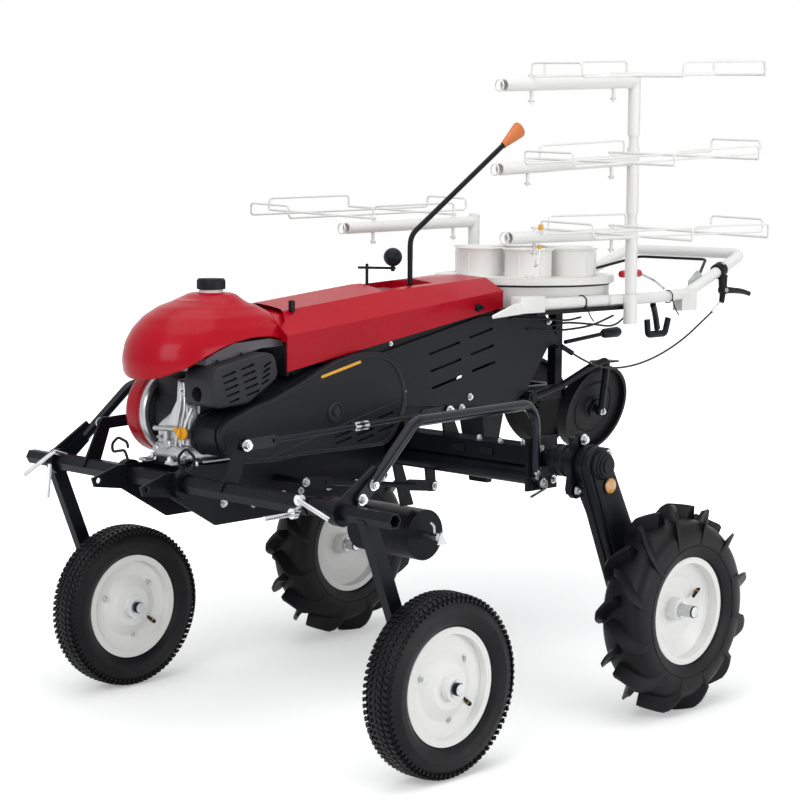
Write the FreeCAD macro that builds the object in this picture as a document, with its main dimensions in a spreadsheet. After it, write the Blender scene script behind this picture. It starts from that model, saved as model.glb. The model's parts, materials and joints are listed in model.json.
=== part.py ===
import FreeCAD, Part
import Sketcher
import math
import os
import re

# Walk-behind vegetable transplanter. Millimetres, +X forward, +Y to the machine's left, +Z up.
# Places are written in the machine's own frame: X from the front axle, Y from the body's middle,
# Z from the floor. front_axle_x and body_mid_y carry that frame to the part's origin.
SIZES = {
    "front_axle_x": 695.3, "body_mid_y": -43.44,
    # wheels
    "front_tyre_radius": 173.3, "front_tyre_width": 77.6, "rim_seat_radius": 101.6,
    "rim_flange_radius": 111, "rim_wall": 3, "front_rim_width": 50,
    "rear_tyre_radius": 215.3, "rear_tyre_width": 108, "rear_rim_width": 78,
    "axle_radius": 12, "running_gap": 0.06, "seat_gap": 0.3, "hub_radius": 24,
    "wheel_base": 679, "front_left_y": 670, "front_right_y": -269,
    "rear_left_y": 684, "rear_right_y": -312,
    # front beam and legs
    "beam_x": 125, "beam_z": 492, "beam_flats": 33, "beam_left_end": 455, "beam_right_end": 318,
    "slide_flats": 28, "slide_bore": 21, "slide_gap": 0.15,
    "slide_left_in": 300, "slide_left_out": 675, "slide_right_in": 215, "slide_right_out": 430,
    "leg_left_y": 600, "leg_right_y": -352, "leg_depth": 30, "leg_width": 20, "foot_radius": 19,
    "collar_radius": 27, "collar_width": 20, "lug_thickness": 6,
    "guard_bolt_x": 88, "guard_bolt_z": 512, "guard_step": 29, "guard_rise": 24,
    # front frame
    "frame_plate_y": 81, "frame_plate": 6, "ring_radius": 30, "ring_width": 18, "bed_z": 515,
    "bed_thickness": 6, "bed_back": 180, "bed_front": 98, "pivot_pin_x": 121, "pivot_pin_z": 478,
    "pivot_pin_radius": 7, "hitch_x": 212, "hitch_z": 488, "hitch_bore": 6,
    # lever arms, link rods
    "lever_y": 220, "lever_thickness": 6, "lever_x": 88, "lever_z": 579, "lever_radius": 14,
    "crank_x": 480, "crank_z": 600, "rod_radius": 6, "fork_width": 24, "fork_length": 72,
    "fork_thickness": 6, "turnbuckle_radius": 9, "turnbuckle_x": 223, "turnbuckle_length": 34,
    "lift_y": 165, "lift_x": 499, "lift_z": 430,
    # rear axle
    "pipe_x": 493, "pipe_z": 487, "pipe_radius": 21.3, "drive_x": 505, "drive_z": 527,
    "channel_depth": 60, "channel_bottom": 508.6, "channel_top": 546, "axle_left_end": 466,
    "axle_right_end": 318, "end_plate": 8, "end_plate_depth": 92, "end_plate_low": 457,
    "end_plate_high": 566, "housing_radius": 36, "housing_neck_radius": 14.5, "neck_length": 24,
    "flange_radius": 44, "flange_thickness": 12,
    "case_left_y": 565, "case_right_y": 375, "case_thickness": 39, "case_radius": 36,
    "boss_radius": 26, "boss_length": 22,
    # transmission, rails
    "gear_half": 70, "gear_low": 420, "gear_high": 640, "gear_back": 560, "gear_step_x": 455,
    "gear_step_z": 575, "rail_width": 24.7, "rail_low": 575, "rail_high": 610,
    "rail_front": 450, "rail_back": 1010, "carrier_front": 482, "carrier_back": 528,
    # engine
    "engine_front": 95, "engine_back": 80, "engine_left": 58, "engine_right": 98,
    "engine_high": 700, "head_front": 20, "head_back": 140, "head_half": 56, "head_high": 722,
    "crank_axis_x": 5, "crank_axis_z": 612, "recoil_radius": 90, "recoil_depth": 52,
    "silencer_out": 150, "tank_seat_z": 751,
    "tank_half_length": 188, "tank_half_width": 128, "tank_low": 690, "tank_top": 860,
    "tank_clearance": 4,
    "cap_x": 18, "cap_radius": 30, "neck_radius": 24, "neck_height": 6, "cap_height": 22,
    "belt_in": 70.3, "belt_out": 160, "panel_in": 112, "panel_thickness": 3,
    # hood
    "hood_half": 135, "hood_shoulder": 82, "hood_wall": 3, "hood_front": 105, "hood_mid": 414,
    "hood_back": 755, "hood_low_front": 701, "hood_low_mid": 750, "hood_low_back": 803,
    "window_front": 437, "window_back": 603, "window_half": 68,
    "window_floor": 838, "stay_radius": 9,
    # guards
    "guard_radius": 10.8, "guard_flat": 6.5,
    # depth roller
    "roller_x": 550, "roller_z": 305, "roller_radius": 57, "roller_half": 95,
    "roller_axle_radius": 8, "hanger_y": 110, "hanger_thickness": 8,
    # turntable
    "table_x": 980, "table_radius": 212, "table_top": 866, "table_skin": 5, "table_lip": 16,
    "ring_outer": 200, "ring_inner": 150, "ring_top": 848, "stand_low": 790, "stand_high": 798,
    "stand_half": 232, "stand_front": 760, "stand_back": 1100, "spindle_radius": 18,
    "spindle_top": 884, "table_hub": 30, "cup_ring": 124, "cup_radius": 54, "cup_wall": 2.5, "drop_x": 833,
    "cup_height": 64, "cup_flare": 6, "cup_count": 6, "cup_phase": 45,
    "chute_radius": 48, "chute_end_radius": 30, "chute_wall": 3, "chute_low": 606,
    "upright_width": 24,
    # planting beak
    "beak_top": 572, "beak_low": 385, "beak_half": 40, "beak_tip": 8, "beak_wall": 3,
    "arm_bar": 10, "arm_bar_y": 48, "arm_low": 575, "arm_high": 597,
    # press wheels
    "press_x": 1130, "press_y": 90, "press_z": 545, "press_radius": 108, "press_tilt": 15,
    "press_rim": 8, "press_face": 30, "press_disc": 4, "press_hub_radius": 22, "press_hub": 28,
    "press_axle": 8, "press_arm_radius": 8, "press_pivot_x": 866, "press_pivot_z": 590,
    # handle and tray posts
    "pipe_frame_radius": 13.6, "pipe_frame_y": 218, "pipe_frame_z": 812, "post_y": 248,
    "post_x": 1070, "post_radius": 11, "socket_radius": 16, "socket_low": 757,
    "socket_high": 826, "post_left_top": 1331, "post_right_top": 1002, "handle_back": 1605,
    "handle_z": 903, "handle_half": 180, "handle_bend": 34, "handle_block": 60,
    # tray arms
    "sleeve_radius": 14.2, "sleeve_gap": 0.06, "arm_radius": 13.6, "arm_bore": 11.3,
    "arm_reach": 421, "stud_near": 72, "stud_far": 337, "stud_radius": 4, "stud_drop": 22,
    "wire_radius": 3, "thin_wire_radius": 2.5, "rack_rise": 20, "rack_width": 389,
    "rail_share_in": 0.306, "rail_share_out": 0.671, "tray_length": 586, "fence_height": 28,
    "rack_lean": -1.9, "bar_overlap": 9,
    "top_arm_z": 1311, "top_sleeve_low": 1190, "top_sleeve_high": 1327, "top_rack_start": 39,
    "top_droop": 2.7, "top_swing": -3.1,
    "middle_arm_z": 1135, "middle_sleeve_low": 1010, "middle_sleeve_high": 1164,
    "middle_rack_start": 39, "middle_droop": 3.2, "middle_swing": -4.6,
    "lower_arm_z": 966, "lower_sleeve_low": 829, "lower_sleeve_high": 988,
    "lower_rack_start": 39, "lower_droop": 0.3, "lower_swing": -0.5,
    "right_arm_z": 982, "right_sleeve_low": 829, "right_sleeve_high": 998,
    "right_rack_start": 0, "right_droop": 1.4, "right_swing": -2.3,
    # levers
    "lever_rod_radius": 6, "main_lever_y": 30, "depth_lever_y": -48, "knob_radius": 21,
    # clutch cable
    "cable_radius": 2.5,
}

document = FreeCAD.newDocument("Transplanter")
sheet = document.addObject("Spreadsheet::Sheet", "Sizes")
for row, (alias, value) in enumerate(SIZES.items(), 1):
    sheet.set(f"A{row}", alias)
    sheet.set(f"B{row}", str(value))
    sheet.setAlias(f"B{row}", alias)
document.recompute()

V = FreeCAD.Vector
X_AXIS, Y_AXIS, Z_AXIS = V(1, 0, 0), V(0, 1, 0), V(0, 0, 1)
nodes = []


def formula(text):
    """An expression with each alias pointed at the sheet. Every alias has an underscore."""
    return re.sub(r"\b[a-z]+_[a-z_]*[a-z]\b", lambda word: "Sizes." + word.group(0), str(text))


def measure(text):
    """The number that an expression gives."""
    value = sheet.evalExpression(formula(text))
    return float(getattr(value, "Value", value))


def at(x, y, z):
    """A point of the machine's frame, from three expressions, in the part's frame."""
    return V(measure(f"{x} + front_axle_x"), measure(f"{y} + body_mid_y"), measure(z))


def locate(thing, x, y, z):
    """Tie an object's base point to the sheet, in the machine's frame."""
    thing.setExpression(".Placement.Base.x", formula(f"{x} + front_axle_x"))
    thing.setExpression(".Placement.Base.y", formula(f"{y} + body_mid_y"))
    thing.setExpression(".Placement.Base.z", formula(z))


def turn(thing, axis, angle):
    """Turn an object about an axis through its base point."""
    thing.Placement = FreeCAD.Placement(thing.Placement.Base, FreeCAD.Rotation(axis, 1))
    thing.setExpression(".Placement.Rotation.Angle", formula(angle))


def node(thing, label):
    """Name an object as one of the part's pieces."""
    thing.Label = label
    nodes.append(thing)
    return thing


def plain(name):
    return re.sub(r"\W", "_", name)


def box(name, length, width, height, x, y, z):
    thing = document.addObject("Part::Box", plain(name))
    for side, size in (("Length", length), ("Width", width), ("Height", height)):
        thing.setExpression(side, formula(size))
    locate(thing, x, y, z)
    return thing


def cylinder(name, radius, length, x, y, z, axis=Z_AXIS):
    thing = document.addObject("Part::Cylinder", plain(name))
    thing.setExpression("Radius", formula(radius))
    thing.setExpression("Height", formula(length))
    thing.Placement = FreeCAD.Placement(V(), FreeCAD.Rotation(Z_AXIS, axis))
    locate(thing, x, y, z)
    return thing


def hexagon(name, flats, length, x, y, z):
    """A hexagonal bar along Y with a flat on top."""
    thing = document.addObject("Part::Prism", plain(name))
    thing.Polygon = 6
    thing.setExpression("Circumradius", formula(f"({flats}) / sqrt(3)"))
    thing.setExpression("Height", formula(length))
    thing.Placement = FreeCAD.Placement(V(), FreeCAD.Rotation(X_AXIS, -90))
    locate(thing, x, y, z)
    return thing


def fuse(name, shapes):
    thing = document.addObject("Part::MultiFuse", plain(name))
    thing.Shapes = shapes
    return thing


def cut(name, base, tool):
    thing = document.addObject("Part::Cut", plain(name))
    thing.Base = base
    thing.Tool = tool
    return thing


def origin_part(body, role):
    return next(item for item in body.Origin.OriginFeatures if item.Role == role)


def outline(body, role, points):
    """A closed sketch whose corners are tied to the sheet through expressions."""
    sketch = body.newObject("Sketcher::SketchObject", body.Name + "_outline")
    sketch.AttachmentSupport = [(origin_part(body, role), "")]
    sketch.MapMode = "FlatFace"
    places = [V(measure(u), measure(v), 0) for u, v in points]
    for start, end in zip(places, places[1:] + places[:1]):
        sketch.addGeometry(Part.LineSegment(start, end), False)
    for side in range(len(places)):
        following = (side + 1) % len(places)
        sketch.addConstraint(Sketcher.Constraint("Coincident", side, 2, following, 1))
    for side, (place, (u, v)) in enumerate(zip(places, points)):
        for kind, number, text in (("DistanceX", place.x, u), ("DistanceY", place.y, v)):
            index = sketch.addConstraint(Sketcher.Constraint(kind, -1, 1, side, 1, number))
            sketch.setExpression(f"Constraints[{index}]", formula(text))
    return sketch


def plate(name, points, y, thickness):
    """A body cut from flat stock in the XZ plane, reaching from y towards +Y."""
    body = document.addObject("PartDesign::Body", plain(name))
    pad = body.newObject("PartDesign::Pad", plain(name) + "_pad")
    pad.Profile = outline(body, "XZ_Plane", points)
    pad.setExpression("Length", formula(thickness))
    pad.Reversed = True
    locate(body, "0", y, "0")
    return body


def turned(name, points, axis, x, y, z):
    """A body turned about its own Y or Z axis from (radius, along) corners."""
    body = document.addObject("PartDesign::Body", plain(name))
    revolution = body.newObject("PartDesign::Revolution", plain(name) + "_turn")
    role = "XY_Plane" if axis == "Y" else "XZ_Plane"
    revolution.Profile = outline(body, role, points)
    revolution.ReferenceAxis = (origin_part(body, axis + "_Axis"), [""])
    revolution.Angle = 360
    locate(body, x, y, z)
    return body


def made(name, shape):
    """A piece whose form no primitive or sketch fits."""
    thing = document.addObject("Part::Feature", plain(name))
    thing.Shape = shape
    return thing


def bent_path(points, bend):
    """Straight runs joined by tangent arcs of one radius."""
    edges = []
    start = points[0]
    for before, corner, after in zip(points, points[1:], points[2:]):
        back = (before - corner).normalize()
        onward = (after - corner).normalize()
        half = math.acos(max(-1, min(1, back.dot(onward)))) / 2
        reach = bend(before, corner, after, half) if callable(bend) else bend
        first = corner + back * (reach / math.tan(half))
        last = corner + onward * (reach / math.tan(half))
        centre = corner + (back + onward).normalize() * (reach / math.sin(half))
        middle = centre + (corner - centre).normalize() * reach
        edges.append(Part.LineSegment(start, first).toShape())
        edges.append(Part.Arc(first, middle, last).toShape())
        start = last
    edges.append(Part.LineSegment(start, points[-1]).toShape())
    return Part.Wire(edges)


def rod(points, radius, bend=0):
    """A round bar along a bent path."""
    if len(points) == 2:
        run = points[1] - points[0]
        return Part.makeCylinder(radius, run.Length, points[0], run)
    path = bent_path(points, bend)
    circle = Part.Circle(points[0], points[1] - points[0], radius)
    return path.makePipeShell([Part.Wire(circle.toShape())], True, False)


def link_plate(first, last, width, y, thickness):
    """A flat link in the XZ plane with round ends, reaching from y towards +Y."""
    run = V(last.x - first.x, 0, last.z - first.z)
    side = V(-run.z, 0, run.x).normalize() * (width / 2)
    ends = [V(point.x, y, point.z) for point in (first, last)]
    corners = [ends[0] + side, ends[1] + side, ends[1] - side, ends[0] - side]
    tip = ends[1] + V(run).normalize() * (width / 2)
    tail = ends[0] - V(run).normalize() * (width / 2)
    wire = Part.Wire([
        Part.LineSegment(corners[0], corners[1]).toShape(),
        Part.Arc(corners[1], tip, corners[2]).toShape(),
        Part.LineSegment(corners[2], corners[3]).toShape(),
        Part.Arc(corners[3], tail, corners[0]).toShape(),
    ])
    return Part.Face(wire).extrude(V(0, thickness, 0))


def lofted(sections):
    """A ruled solid through closed polygons, each a list of points."""
    wires = [Part.makePolygon(points + points[:1]) for points in sections]
    return Part.makeLoft(wires, True, True)


SIDES = (("left", 1), ("right", -1))


def front_frame():
    """Two hitch plates with the beam's bearing rings, the engine bed and the lift pivot."""
    shape = [("hitch_x + 16", "hitch_z + 6"), ("hitch_x + 10", "hitch_z - 12"), ("154", "466"),
             ("40", "397"), ("-bed_back", "399"), ("-bed_back", "bed_z"), ("162", "bed_z")]
    parts = [
        plate("frame plate left", shape, "frame_plate_y - frame_plate", "frame_plate"),
        plate("frame plate right", shape, "-frame_plate_y", "frame_plate"),
        box("engine bed", "bed_front + bed_back", "2 * frame_plate_y", "bed_thickness",
            "-bed_back", "-frame_plate_y", "bed_z"),
        cylinder("beam ring left", "ring_radius", "ring_width", "beam_x", "frame_plate_y",
                 "beam_z", Y_AXIS),
        cylinder("beam ring right", "ring_radius", "ring_width", "beam_x",
                 "-frame_plate_y - ring_width", "beam_z", Y_AXIS),
        cylinder("lift pivot", "pivot_pin_radius", "lift_y - frame_plate_y", "-pivot_pin_x",
                 "frame_plate_y", "pivot_pin_z", Y_AXIS),
        box("cross plate", "frame_plate", "2 * frame_plate_y", "56", "-bed_back",
            "-frame_plate_y", "bed_z - 56"),
    ]
    bores = fuse("frame bores", [
        cylinder("beam bore", "beam_flats / sqrt(3) + slide_gap", "4 * frame_plate_y", "beam_x",
                 "-2 * frame_plate_y", "beam_z", Y_AXIS),
        cylinder("hitch hole", "hitch_bore", "4 * frame_plate_y", "hitch_x",
                 "-2 * frame_plate_y", "hitch_z", Y_AXIS),
    ])
    node(cut("front frame", fuse("front frame solid", parts), bores), "front_frame")


def front_beam():
    """Hexagonal tube that turns in the rings, with the two upright lever arms."""
    outer = hexagon("beam outside", "beam_flats", "beam_left_end + beam_right_end", "beam_x",
                    "-beam_right_end", "beam_z")
    arms = [outer]
    for side, sign in SIDES:
        arm = [("beam_x - 20", "beam_z"), ("beam_x + 22", "beam_z"),
               ("lever_x + lever_radius", "lever_z + 4"), ("lever_x + 6", "lever_z + lever_radius"),
               ("lever_x - 8", "lever_z + lever_radius"), ("lever_x - lever_radius", "lever_z - 2")]
        low = f"{sign} * lever_y - lever_thickness / 2"
        arms.append(plate("lever arm " + side, arm, low, "lever_thickness"))
    bore = hexagon("beam inside", "slide_flats + 2 * slide_gap", "2 * beam_left_end + 200",
                   "beam_x", "-beam_right_end - 50", "beam_z")
    node(cut("front beam", fuse("beam and arms", arms), bore), "front_beam")


def front_leg(side, sign):
    """Sliding hexagonal tube with its collar, guard lug, leg, foot and wheel axle."""
    leg = f"leg_{side}_y"
    inner, outer = f"slide_{side}_in", f"slide_{side}_out"
    low = inner if sign > 0 else f"-{outer}"
    collar = "leg_left_y - 75" if sign > 0 else "leg_right_y + leg_width / 2"
    lean = "atan2(beam_x; beam_z - front_tyre_radius)"
    tube = hexagon(f"slide {side}", "slide_flats", f"{outer} - {inner}", "beam_x", low, "beam_z")
    ring = cylinder(f"collar {side}", "collar_radius", "collar_width", "beam_x", collar,
                    "beam_z", Y_AXIS)
    lug = [("guard_bolt_x - 62", "guard_bolt_z + 34"), ("guard_bolt_x - 40", "guard_bolt_z + 58"),
           ("beam_x + 10", "beam_z + 24"), ("beam_x - 18", "beam_z + 2"),
           ("guard_bolt_x - 6", "guard_bolt_z - 14")]
    lug_y = f"{collar} + collar_width - lug_thickness" if sign > 0 else collar
    strut = box(f"strut {side}", "leg_depth", "leg_width",
                "sqrt(beam_x ^ 2 + (beam_z - front_tyre_radius) ^ 2)",
                f"-leg_depth / 2 * cos({lean})", f"{leg} - leg_width / 2",
                f"front_tyre_radius + leg_depth / 2 * sin({lean})")
    turn(strut, Y_AXIS, lean)
    foot = cylinder(f"foot {side}", "foot_radius", "leg_width", "0", f"{leg} - leg_width / 2",
                    "front_tyre_radius", Y_AXIS)
    axle = cylinder(f"front axle {side}", "axle_radius",
                    f"front_{side}_y - {leg} + front_rim_width", "0", leg,
                    "front_tyre_radius", Y_AXIS)
    solid = fuse(f"leg solid {side}", [tube, ring, plate(f"guard lug {side}", lug, lug_y,
                                                        "lug_thickness"), strut, foot, axle])
    bore = hexagon(f"slide bore {side}", "slide_bore", f"{outer} - {inner} + 20", "beam_x",
                   f"{low} - 10", "beam_z")
    node(cut(f"front leg {side}", solid, bore), f"front_leg_{side}")


def tyre(label, radius, width, rim_width, x, y):
    """A tyre from its seat on the rim to the tread, square-shouldered."""
    half_seat, half = f"({rim_width}) / 2 - 6", f"({width}) / 2"
    seat = "rim_seat_radius + 0.05"
    corners = [(seat, f"-({half_seat})"), (seat, half_seat),
               (f"{seat} + 12", f"{half_seat}"),
               (f"{seat} + 22", f"{half} - 5"), (f"{radius} - ({width}) * 0.42", half),
               (f"{radius} - ({width}) * 0.16", f"{half} - 5"), (radius, f"{half} * 0.56"),
               (radius, f"-{half} * 0.56"), (f"{radius} - ({width}) * 0.16", f"5 - {half}"),
               (f"{radius} - ({width}) * 0.42", f"-{half}"), (f"{seat} + 22", f"5 - {half}"),
               (f"{seat} + 12", f"-({half_seat})")]
    node(turned(label, corners, "Y", x, y, radius), label)


def rim(label, radius, rim_width, dish, x, y):
    """A pressed wheel: flanged barrel, dished disc and hub."""
    half = f"({rim_width}) / 2"
    seat, bead = "rim_seat_radius", "rim_seat_radius - rim_wall"
    bore = "axle_radius + running_gap"
    disc_out, disc_mid, disc_in, hub_out, hub_in = dish
    corners = [
        (bore, hub_out), ("hub_radius", hub_out), ("hub_radius", f"{disc_in} + rim_wall"),
        ("hub_radius + 18", f"{disc_in} + rim_wall"), ("hub_radius + 42", f"{disc_mid} + rim_wall"),
        (bead, f"{disc_out} + rim_wall"), (bead, half), ("rim_flange_radius", half),
        ("rim_flange_radius", f"{half} - rim_wall"), (seat, f"{half} - rim_wall"),
        (seat, f"rim_wall - {half}"), ("rim_flange_radius", f"rim_wall - {half}"),
        ("rim_flange_radius", f"-{half}"), (bead, f"-{half}"), (bead, disc_out),
        ("hub_radius + 42", disc_mid), ("hub_radius + 18", disc_in), ("hub_radius", disc_in),
        ("hub_radius", hub_in), (bore, hub_in),
    ]
    node(turned(label, corners, "Y", x, y, radius), label)


def wheels():
    front_dish = ("6", "8", "22", "40", "-24")
    rear_dish = ("14", "0", "-4", "22", "-26")
    for side in ("left", "right"):
        tyre(f"front_tyre_{side}", "front_tyre_radius", "front_tyre_width", "front_rim_width",
             "0", f"front_{side}_y")
        rim(f"front_rim_{side}", "front_tyre_radius", "front_rim_width", front_dish,
            "0", f"front_{side}_y")
        tyre(f"rear_tyre_{side}", "rear_tyre_radius", "rear_tyre_width", "rear_rim_width",
             "-wheel_base", f"rear_{side}_y")
        rim(f"rear_rim_{side}", "rear_tyre_radius", "rear_rim_width", rear_dish,
            "-wheel_base", f"rear_{side}_y")


def rear_axle():
    """Round pipe and rectangular channel, closed by one plate at each end."""
    span = "axle_left_end + axle_right_end"
    pipe = cylinder("pipe", "pipe_radius", span, "-pipe_x", "-axle_right_end", "pipe_z", Y_AXIS)
    plates = []
    for side, low in (("left", "axle_left_end"), ("right", "-axle_right_end - end_plate")):
        plates.append(box("end plate " + side, "end_plate_depth", "end_plate",
                          "end_plate_high - end_plate_low", "-drive_x - end_plate_depth / 2",
                          low, "end_plate_low"))
    bracket = plate("lift bracket", [
        ("-pipe_x + 14", "pipe_z - 8"), ("-pipe_x - 14", "pipe_z - 8"),
        ("-lift_x - 13", "lift_z - 4"), ("-lift_x - 6", "lift_z - 13"),
        ("-lift_x + 6", "lift_z - 13"), ("-lift_x + 13", "lift_z - 4")],
        "lift_y - lever_thickness - seat_gap", "lever_thickness")
    node(fuse("rear axle pipe", [pipe, bracket] + plates), "rear_axle_pipe")
    channel = box("channel", "channel_depth", f"{span}", "channel_top - channel_bottom",
                  "-drive_x - channel_depth / 2", "-axle_right_end", "channel_bottom")
    cranks = []
    for side, sign in SIDES:
        crank = [("-drive_x - 22", "channel_top - 8"), ("-drive_x + 26", "channel_top - 8"),
                 ("-crank_x + 13", "crank_z + 3"), ("-crank_x", "crank_z + 13"),
                 ("-crank_x - 13", "crank_z + 3")]
        cranks.append(plate("crank " + side, crank, f"{sign} * lever_y - lever_thickness / 2",
                            "lever_thickness"))
    node(fuse("rear channel", [channel] + cranks), "rear_channel")


def chain_case(side, sign):
    """Drive housing, bolted flange and the chain case that carries the rear wheel."""
    if sign > 0:
        start, face = "axle_left_end + end_plate", "case_left_y"
        housing_y, flange_y = start, "case_left_y - flange_thickness"
        case_y, stub_y = "case_left_y", "case_left_y + case_thickness"
        boss_y = stub_y
    else:
        start, face = "axle_right_end + end_plate", "case_right_y"
        housing_y = "-case_right_y + flange_thickness"
        flange_y = "-case_right_y"
        case_y = "-case_right_y - case_thickness"
        stub_y, boss_y = "-case_right_y", "-case_right_y - case_thickness - boss_length"
    length = f"{face} - ({start}) - flange_thickness"
    barrel_y = f"{housing_y} + neck_length" if sign > 0 else housing_y
    barrel = cylinder(f"barrel {side}", "housing_radius", f"{length} - neck_length", "-drive_x",
                      barrel_y, "drive_z", Y_AXIS)
    neck = cylinder(f"neck {side}", "housing_neck_radius", length, "-drive_x", housing_y,
                    "drive_z", Y_AXIS)
    flange = cylinder(f"flange {side}", "flange_radius", "flange_thickness", "-drive_x",
                      flange_y, "drive_z", Y_AXIS)
    node(fuse(f"drive housing {side}", [barrel, neck, flange]), f"drive_housing_{side}")
    run = "sqrt((wheel_base - drive_x) ^ 2 + (drive_z - rear_tyre_radius) ^ 2)"
    lean = "atan2(wheel_base - drive_x; drive_z - rear_tyre_radius)"
    shank = box(f"case shank {side}", "2 * case_radius - 8", "case_thickness", run,
                f"-wheel_base - (case_radius - 4) * cos({lean})", case_y,
                f"rear_tyre_radius + (case_radius - 4) * sin({lean})")
    turn(shank, Y_AXIS, lean)
    ends = [
        cylinder(f"case head {side}", "case_radius", "case_thickness", "-drive_x", case_y,
                 "drive_z", Y_AXIS),
        cylinder(f"case foot {side}", "case_radius", "case_thickness", "-wheel_base", case_y,
                 "rear_tyre_radius", Y_AXIS),
        cylinder(f"case boss {side}", "boss_radius", "boss_length", "-drive_x", boss_y,
                 "drive_z", Y_AXIS),
        cylinder(f"rear axle {side}", "axle_radius",
                 f"rear_{side}_y - ({stub_y}) + 55", "-wheel_base", stub_y,
                 "rear_tyre_radius", Y_AXIS),
    ]
    node(fuse(f"chain case {side}", [shank] + ends), f"chain_case_{side}")


def transmission():
    """Gear case with an overhang above the rear axle."""
    shape = [("-bed_back - seat_gap", "gear_low"), ("-bed_back - seat_gap", "gear_high"),
             ("-gear_back", "gear_high"), ("-gear_back", "gear_step_z"),
             ("-gear_step_x", "gear_step_z"), ("-gear_step_x + 16", "gear_low")]
    node(plate("transmission case", shape, "-gear_half", "2 * gear_half"), "transmission_case")


def chassis_rails():
    """Two box rails with the saddles that rest on the rear channel, and the table's uprights."""
    parts = []
    for side, sign in SIDES:
        low = "gear_half + seat_gap" if sign > 0 else "-gear_half - seat_gap - rail_width"
        parts.append(box("rail " + side, "rail_back - rail_front", "rail_width",
                         "rail_high - rail_low", "-rail_back", low, "rail_low"))
        parts.append(box("saddle " + side, "carrier_back - carrier_front", "rail_width",
                         "rail_low - channel_top - seat_gap", "-carrier_back", low,
                         "channel_top + seat_gap"))
        for place in ("rail_back", "stand_front + 60"):
            parts.append(box(f"upright {side} {place}", "upright_width", "rail_width",
                             "stand_low - rail_high", f"-({place})", low, "rail_high"))
        pin = "rail_width + 40"
        pin_y = "gear_half + seat_gap" if sign > 0 else "-gear_half - seat_gap - rail_width - 40"
        parts.append(cylinder("press pivot " + side, "7", pin, "-press_pivot_x", pin_y,
                              "press_pivot_z", Y_AXIS))
    parts.append(box("rear cross rail", "upright_width", "2 * (gear_half + seat_gap)",
                     "rail_high - rail_low", "-rail_back", "-gear_half - seat_gap", "rail_low"))
    node(fuse("chassis rails", parts), "chassis_rails")


def engine():
    """Single-cylinder engine as plain blocks, with its starter cover and silencer cover."""
    block = box("crankcase", "engine_front + engine_back", "engine_left + engine_right",
                "engine_high - bed_z - bed_thickness", "-engine_back", "-engine_right",
                "bed_z + bed_thickness")
    head = box("cylinder head", "head_back - head_front", "2 * head_half",
               "head_high - bed_z - bed_thickness - 110", "-head_back", "-head_half",
               "bed_z + bed_thickness + 110")
    post = box("tank post", "25", "head_half", "tank_seat_z - head_high", "-125",
               "-head_half / 2", "head_high")
    node(fuse("engine block", [block, head, post]), "engine_block")
    node(cylinder("recoil cover", "recoil_radius", "recoil_depth", "crank_axis_x",
                  "-engine_right - seat_gap - recoil_depth", "crank_axis_z", Y_AXIS),
         "recoil_cover")
    shape = [("96", "640"), ("96", "714"), ("84", "720"), ("-46", "745"), ("-64", "738"),
             ("-72", "696"), ("6", "648"), ("20", "640")]
    inside = "engine_left + seat_gap"
    node(plate("silencer cover", shape, inside, f"silencer_out - ({inside})"), "silencer_cover")


def tank_section(height, length_share, width_share, grow=0):
    """A rounded rectangle of the tank at one height."""
    half_length = measure("tank_half_length") * length_share + grow
    half_width = measure("tank_half_width") * width_share + grow
    centre = at("0", "0", "0")
    points = []
    for step in range(24):
        angle = 2 * math.pi * (step + 0.5) / 24
        cosine, sine = math.cos(angle), math.sin(angle)
        points.append(V(centre.x + half_length * math.copysign(abs(cosine) ** 0.62, cosine),
                        centre.y + half_width * math.copysign(abs(sine) ** 0.62, sine), height))
    return points


def tank_dome(grow=0):
    """The tank cover's outer form, or that form grown by a clearance."""
    low, top = measure("tank_low"), measure("tank_top") + grow
    levels = ((0, 0.97, 0.97), (0.3, 1, 1), (0.55, 0.95, 0.95), (0.76, 0.82, 0.84),
              (0.9, 0.6, 0.66), (1, 0.34, 0.4))
    return lofted([tank_section(low + (top - low) * share, length, width, grow)
                   for share, length, width in levels])


def tank():
    """Red dome over the fuel tank, with an arched lower edge, its cap and the tank's base."""
    dome = tank_dome()
    edge = [("tank_half_length + 20", "tank_low - 20"), ("tank_half_length + 20", "tank_low + 2"),
            ("170", "tank_low + 6"), ("115", "724"), ("60", "748"), ("12", "764"),
            ("-84", "769"), ("-140", "760"), ("-tank_half_length - 20", "750"),
            ("-tank_half_length - 20", "tank_low - 20")]
    corners = [at(x, "-tank_half_width - 20", z) for x, z in edge]
    arch = Part.Face(Part.makePolygon(corners + corners[:1]))
    arch = arch.extrude(V(0, 2 * measure("tank_half_width") + 40, 0))
    node(made("tank cover", dome.cut(arch)), "tank_cover")
    base = [("84", "724"), ("84", "737 - seat_gap"), ("60", "748 - seat_gap"),
            ("12", "764 - seat_gap"), ("-84", "769 - seat_gap"), ("-136", "760 - seat_gap"),
            ("-136", "752"), ("-62", "750.5")]
    node(plate("fuel tank", base, "-tank_half_width + 22", "2 * tank_half_width - 44"),
         "fuel_tank")
    neck = cylinder("filler neck", "neck_radius", "neck_height", "-cap_x", "0", "tank_top")
    lid = cylinder("filler lid", "cap_radius", "cap_height", "-cap_x", "0",
                   "tank_top + neck_height")
    node(fuse("fuel cap", [neck, lid]), "fuel_cap")


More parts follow.
